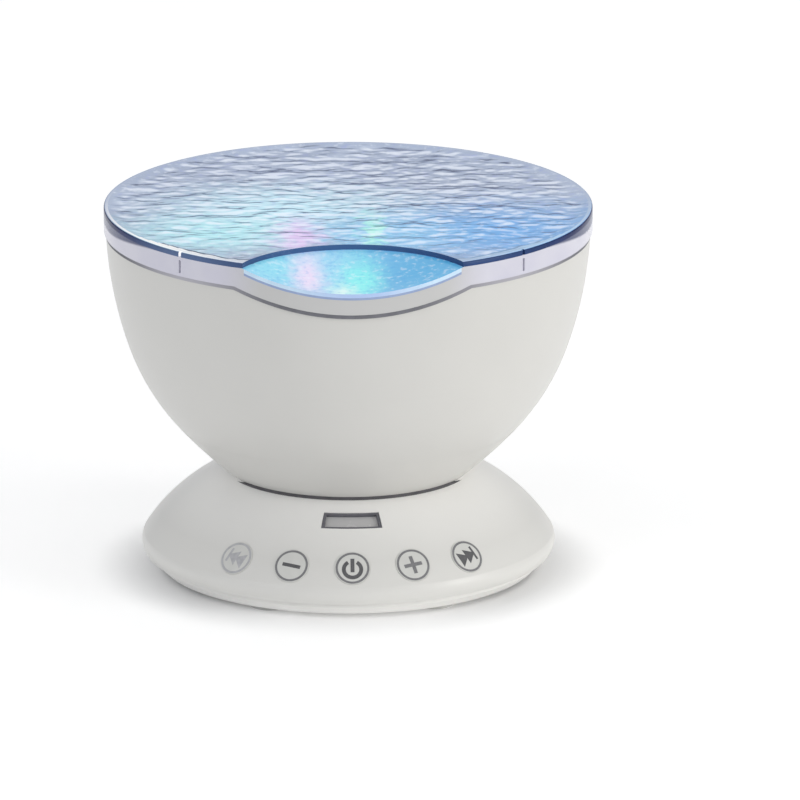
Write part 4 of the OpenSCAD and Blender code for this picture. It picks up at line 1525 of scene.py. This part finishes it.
    def build(self) -> list[Object]:
        """Models the print, lays it on the key and dresses it, and adds the lip.

        Returns:
            The print and the lip.
        """
        rubbed = self.sign is Sign.PREVIOUS
        ring, strokes = self.ring(self.ring_r, self.ring_w), self.strokes()
        ring.data.materials.append((PALE_INK if rubbed else RING_INK).material())
        for stroke in strokes:
            thin = RING_INK if self.sign is Sign.PLUS else INK
            stroke.data.materials.append((PALE_INK if rubbed else thin).material())
        hold(ring)
        for stroke in strokes:
            stroke.select_set(True)
        bpy.ops.object.join()
        ring.name = ring.data.name = self.sign.value.replace("key_", "print_")
        turn = math.radians(self.lean * (list(Sign).index(self.sign) - 2))
        ring.matrix_world = self.frame_of_key() @ Matrix.Rotation(turn, 4, "Z")
        wrap = ring.modifiers.new("lay", "SHRINKWRAP")
        wrap.target, wrap.wrap_method, wrap.offset = frame["nodes"][self.sign.value], "PROJECT", self.lift
        wrap.use_project_z, wrap.use_negative_direction, wrap.use_positive_direction = True, True, False
        film = ring.modifiers.new("film", "SOLIDIFY")
        film.thickness, film.offset = self.film, -1.0
        apply_all(ring)
        settle(ring)
        close_up(ring)
        soften(ring)
        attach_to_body(ring, self.sign.value)
        return [ring, self.lip()]


@dataclass
class Shell:
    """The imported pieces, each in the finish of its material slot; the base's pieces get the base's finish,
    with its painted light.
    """

    base: tuple[str, ...] = ("base_top", "base_plate")

    def build(self) -> list[Object]:
        """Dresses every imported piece.

        Returns:
            The dressed pieces.
        """
        for name, piece in frame["nodes"].items():
            for place in piece.material_slots:
                finish = BASE_ABS if name in self.base else FINISHES[Slot(place.material.name)]
                place.material = finish.material()
        return list(frame["nodes"].values())


@dataclass(frozen=True)
class SoftLight:
    """A square studio light that faces the object."""

    name: str
    place: tuple[float, float, float]
    size: float
    power: float
    colour: str = "#FFFFFF"

    def build(self) -> None:
        """Adds the light and turns it to the object."""
        deselect()
        bpy.ops.object.light_add(type="AREA", location=self.place)
        light = bpy.context.active_object
        light.name = self.name
        light.data.size, light.data.energy, light.data.color = self.size, self.power, linear(self.colour)[:3]
        light.rotation_euler = (Vector(MIDDLE) - light.location).to_track_quat("-Z", "Y").to_euler()


@dataclass
class Studio:
    """White floor, soft light and the camera at the photograph's view."""

    floor_size: float = 12.0
    camera_way: tuple[float, float] = (-1.39, 16.04)
    camera_far: float = 4.0
    focal_px: float = 12992.0
    image_px: float = 800.0
    sensor_mm: float = 36.0
    room_far: float = 50.0
    sky_power: float = 0.77
    # Colours of the room, by the height of the view's direction.
    walls: tuple[tuple[float, str], ...] = (
        (0.0, "#A8ACB6"), (0.16, "#B4B8C2"), (0.34, "#F4F5F7"), (1.0, "#FFFFFF"),
    )
    middle_px: tuple[float, float] = (348.35, 376.76)
    lights: tuple[SoftLight, ...] = (
        SoftLight("key_light", (1.9, -1.5, 1.1), 1.2, 3.0, "#FFFDF8"),
        SoftLight("side_light", (2.1, -1.0, 0.35), 0.8, 19.0, "#FFFDF8"),
        SoftLight("fill_light", (-1.5, -1.2, 0.9), 1.2, 4.5, "#F6F9FF"),
    )

    def floor(self) -> None:
        """Lays a plain white floor."""
        deselect()
        bpy.ops.mesh.primitive_plane_add(size=self.floor_size)
        floor = bpy.context.active_object
        floor.name = "studio_floor"
        floor.data.materials.append(PAPER.material())

    def sky(self) -> None:
        """Sets a white room with a darker band along its walls."""
        world = bpy.data.worlds.new("studio")
        bpy.context.scene.world = world
        world.use_nodes = True
        tree = world.node_tree
        tree.nodes.clear()
        at = add_node(tree, "ShaderNodeTexCoord")
        height = add_node(tree, "ShaderNodeSeparateXYZ", links={0: at.outputs["Generated"]})
        band = add_node(tree, "ShaderNodeValToRGB", {"stops": self.walls}, {0: height.outputs["Z"]})
        light = add_node(tree, "ShaderNodeBackground", {"Strength": self.sky_power}, {
            "Color": band.outputs[0],
        })
        add_node(tree, "ShaderNodeOutputWorld", links={"Surface": light.outputs[0]})

    def camera(self) -> None:
        """Puts the camera where the photograph was taken from."""
        turn, rise = (math.radians(a) for a in self.camera_way)
        back = Vector((math.sin(turn) * math.cos(rise), -math.cos(turn) * math.cos(rise), math.sin(rise)))
        right = Vector((math.cos(turn), math.sin(turn), 0.0))
        up = back.cross(right)
        pixel = self.camera_far / self.focal_px
        aside = (self.image_px / 2 - self.middle_px[0]) * pixel
        below = (self.image_px / 2 - self.middle_px[1]) * pixel
        aim = Vector(MIDDLE) + right * aside - up * below
        data = bpy.data.cameras.new("photo_camera")
        data.sensor_width, data.lens = self.sensor_mm, self.sensor_mm * self.focal_px / self.image_px
        data.clip_end = self.room_far
        camera = bpy.data.objects.new("photo_camera", data)
        bpy.context.scene.collection.objects.link(camera)
        axes = Matrix((right, up, back)).transposed().to_4x4()
        camera.matrix_world = Matrix.Translation(aim + back * self.camera_far) @ axes
        bpy.context.scene.camera = camera

    def build(self) -> None:
        """Sets up the studio."""
        self.camera()
        self.floor()
        self.sky()
        for light in self.lights:
            light.build()
        bpy.context.scene.view_settings.view_transform = "Standard"


def main() -> None:
    """Builds the studio and every dressed piece in order."""
    logging.basicConfig(level=logging.INFO, format="%(name)s: %(message)s")
    Studio().build()
    LOG.info("%d packed pieces dressed", len(Shell().build()))
    for maker in (WaveCover(), RimShadeRing(), CupCollar(), WindowFrame(), *map(KeyPrint, Sign)):
        for piece in maker.build():
            report(piece)


if __name__ == "__main__":
    main()
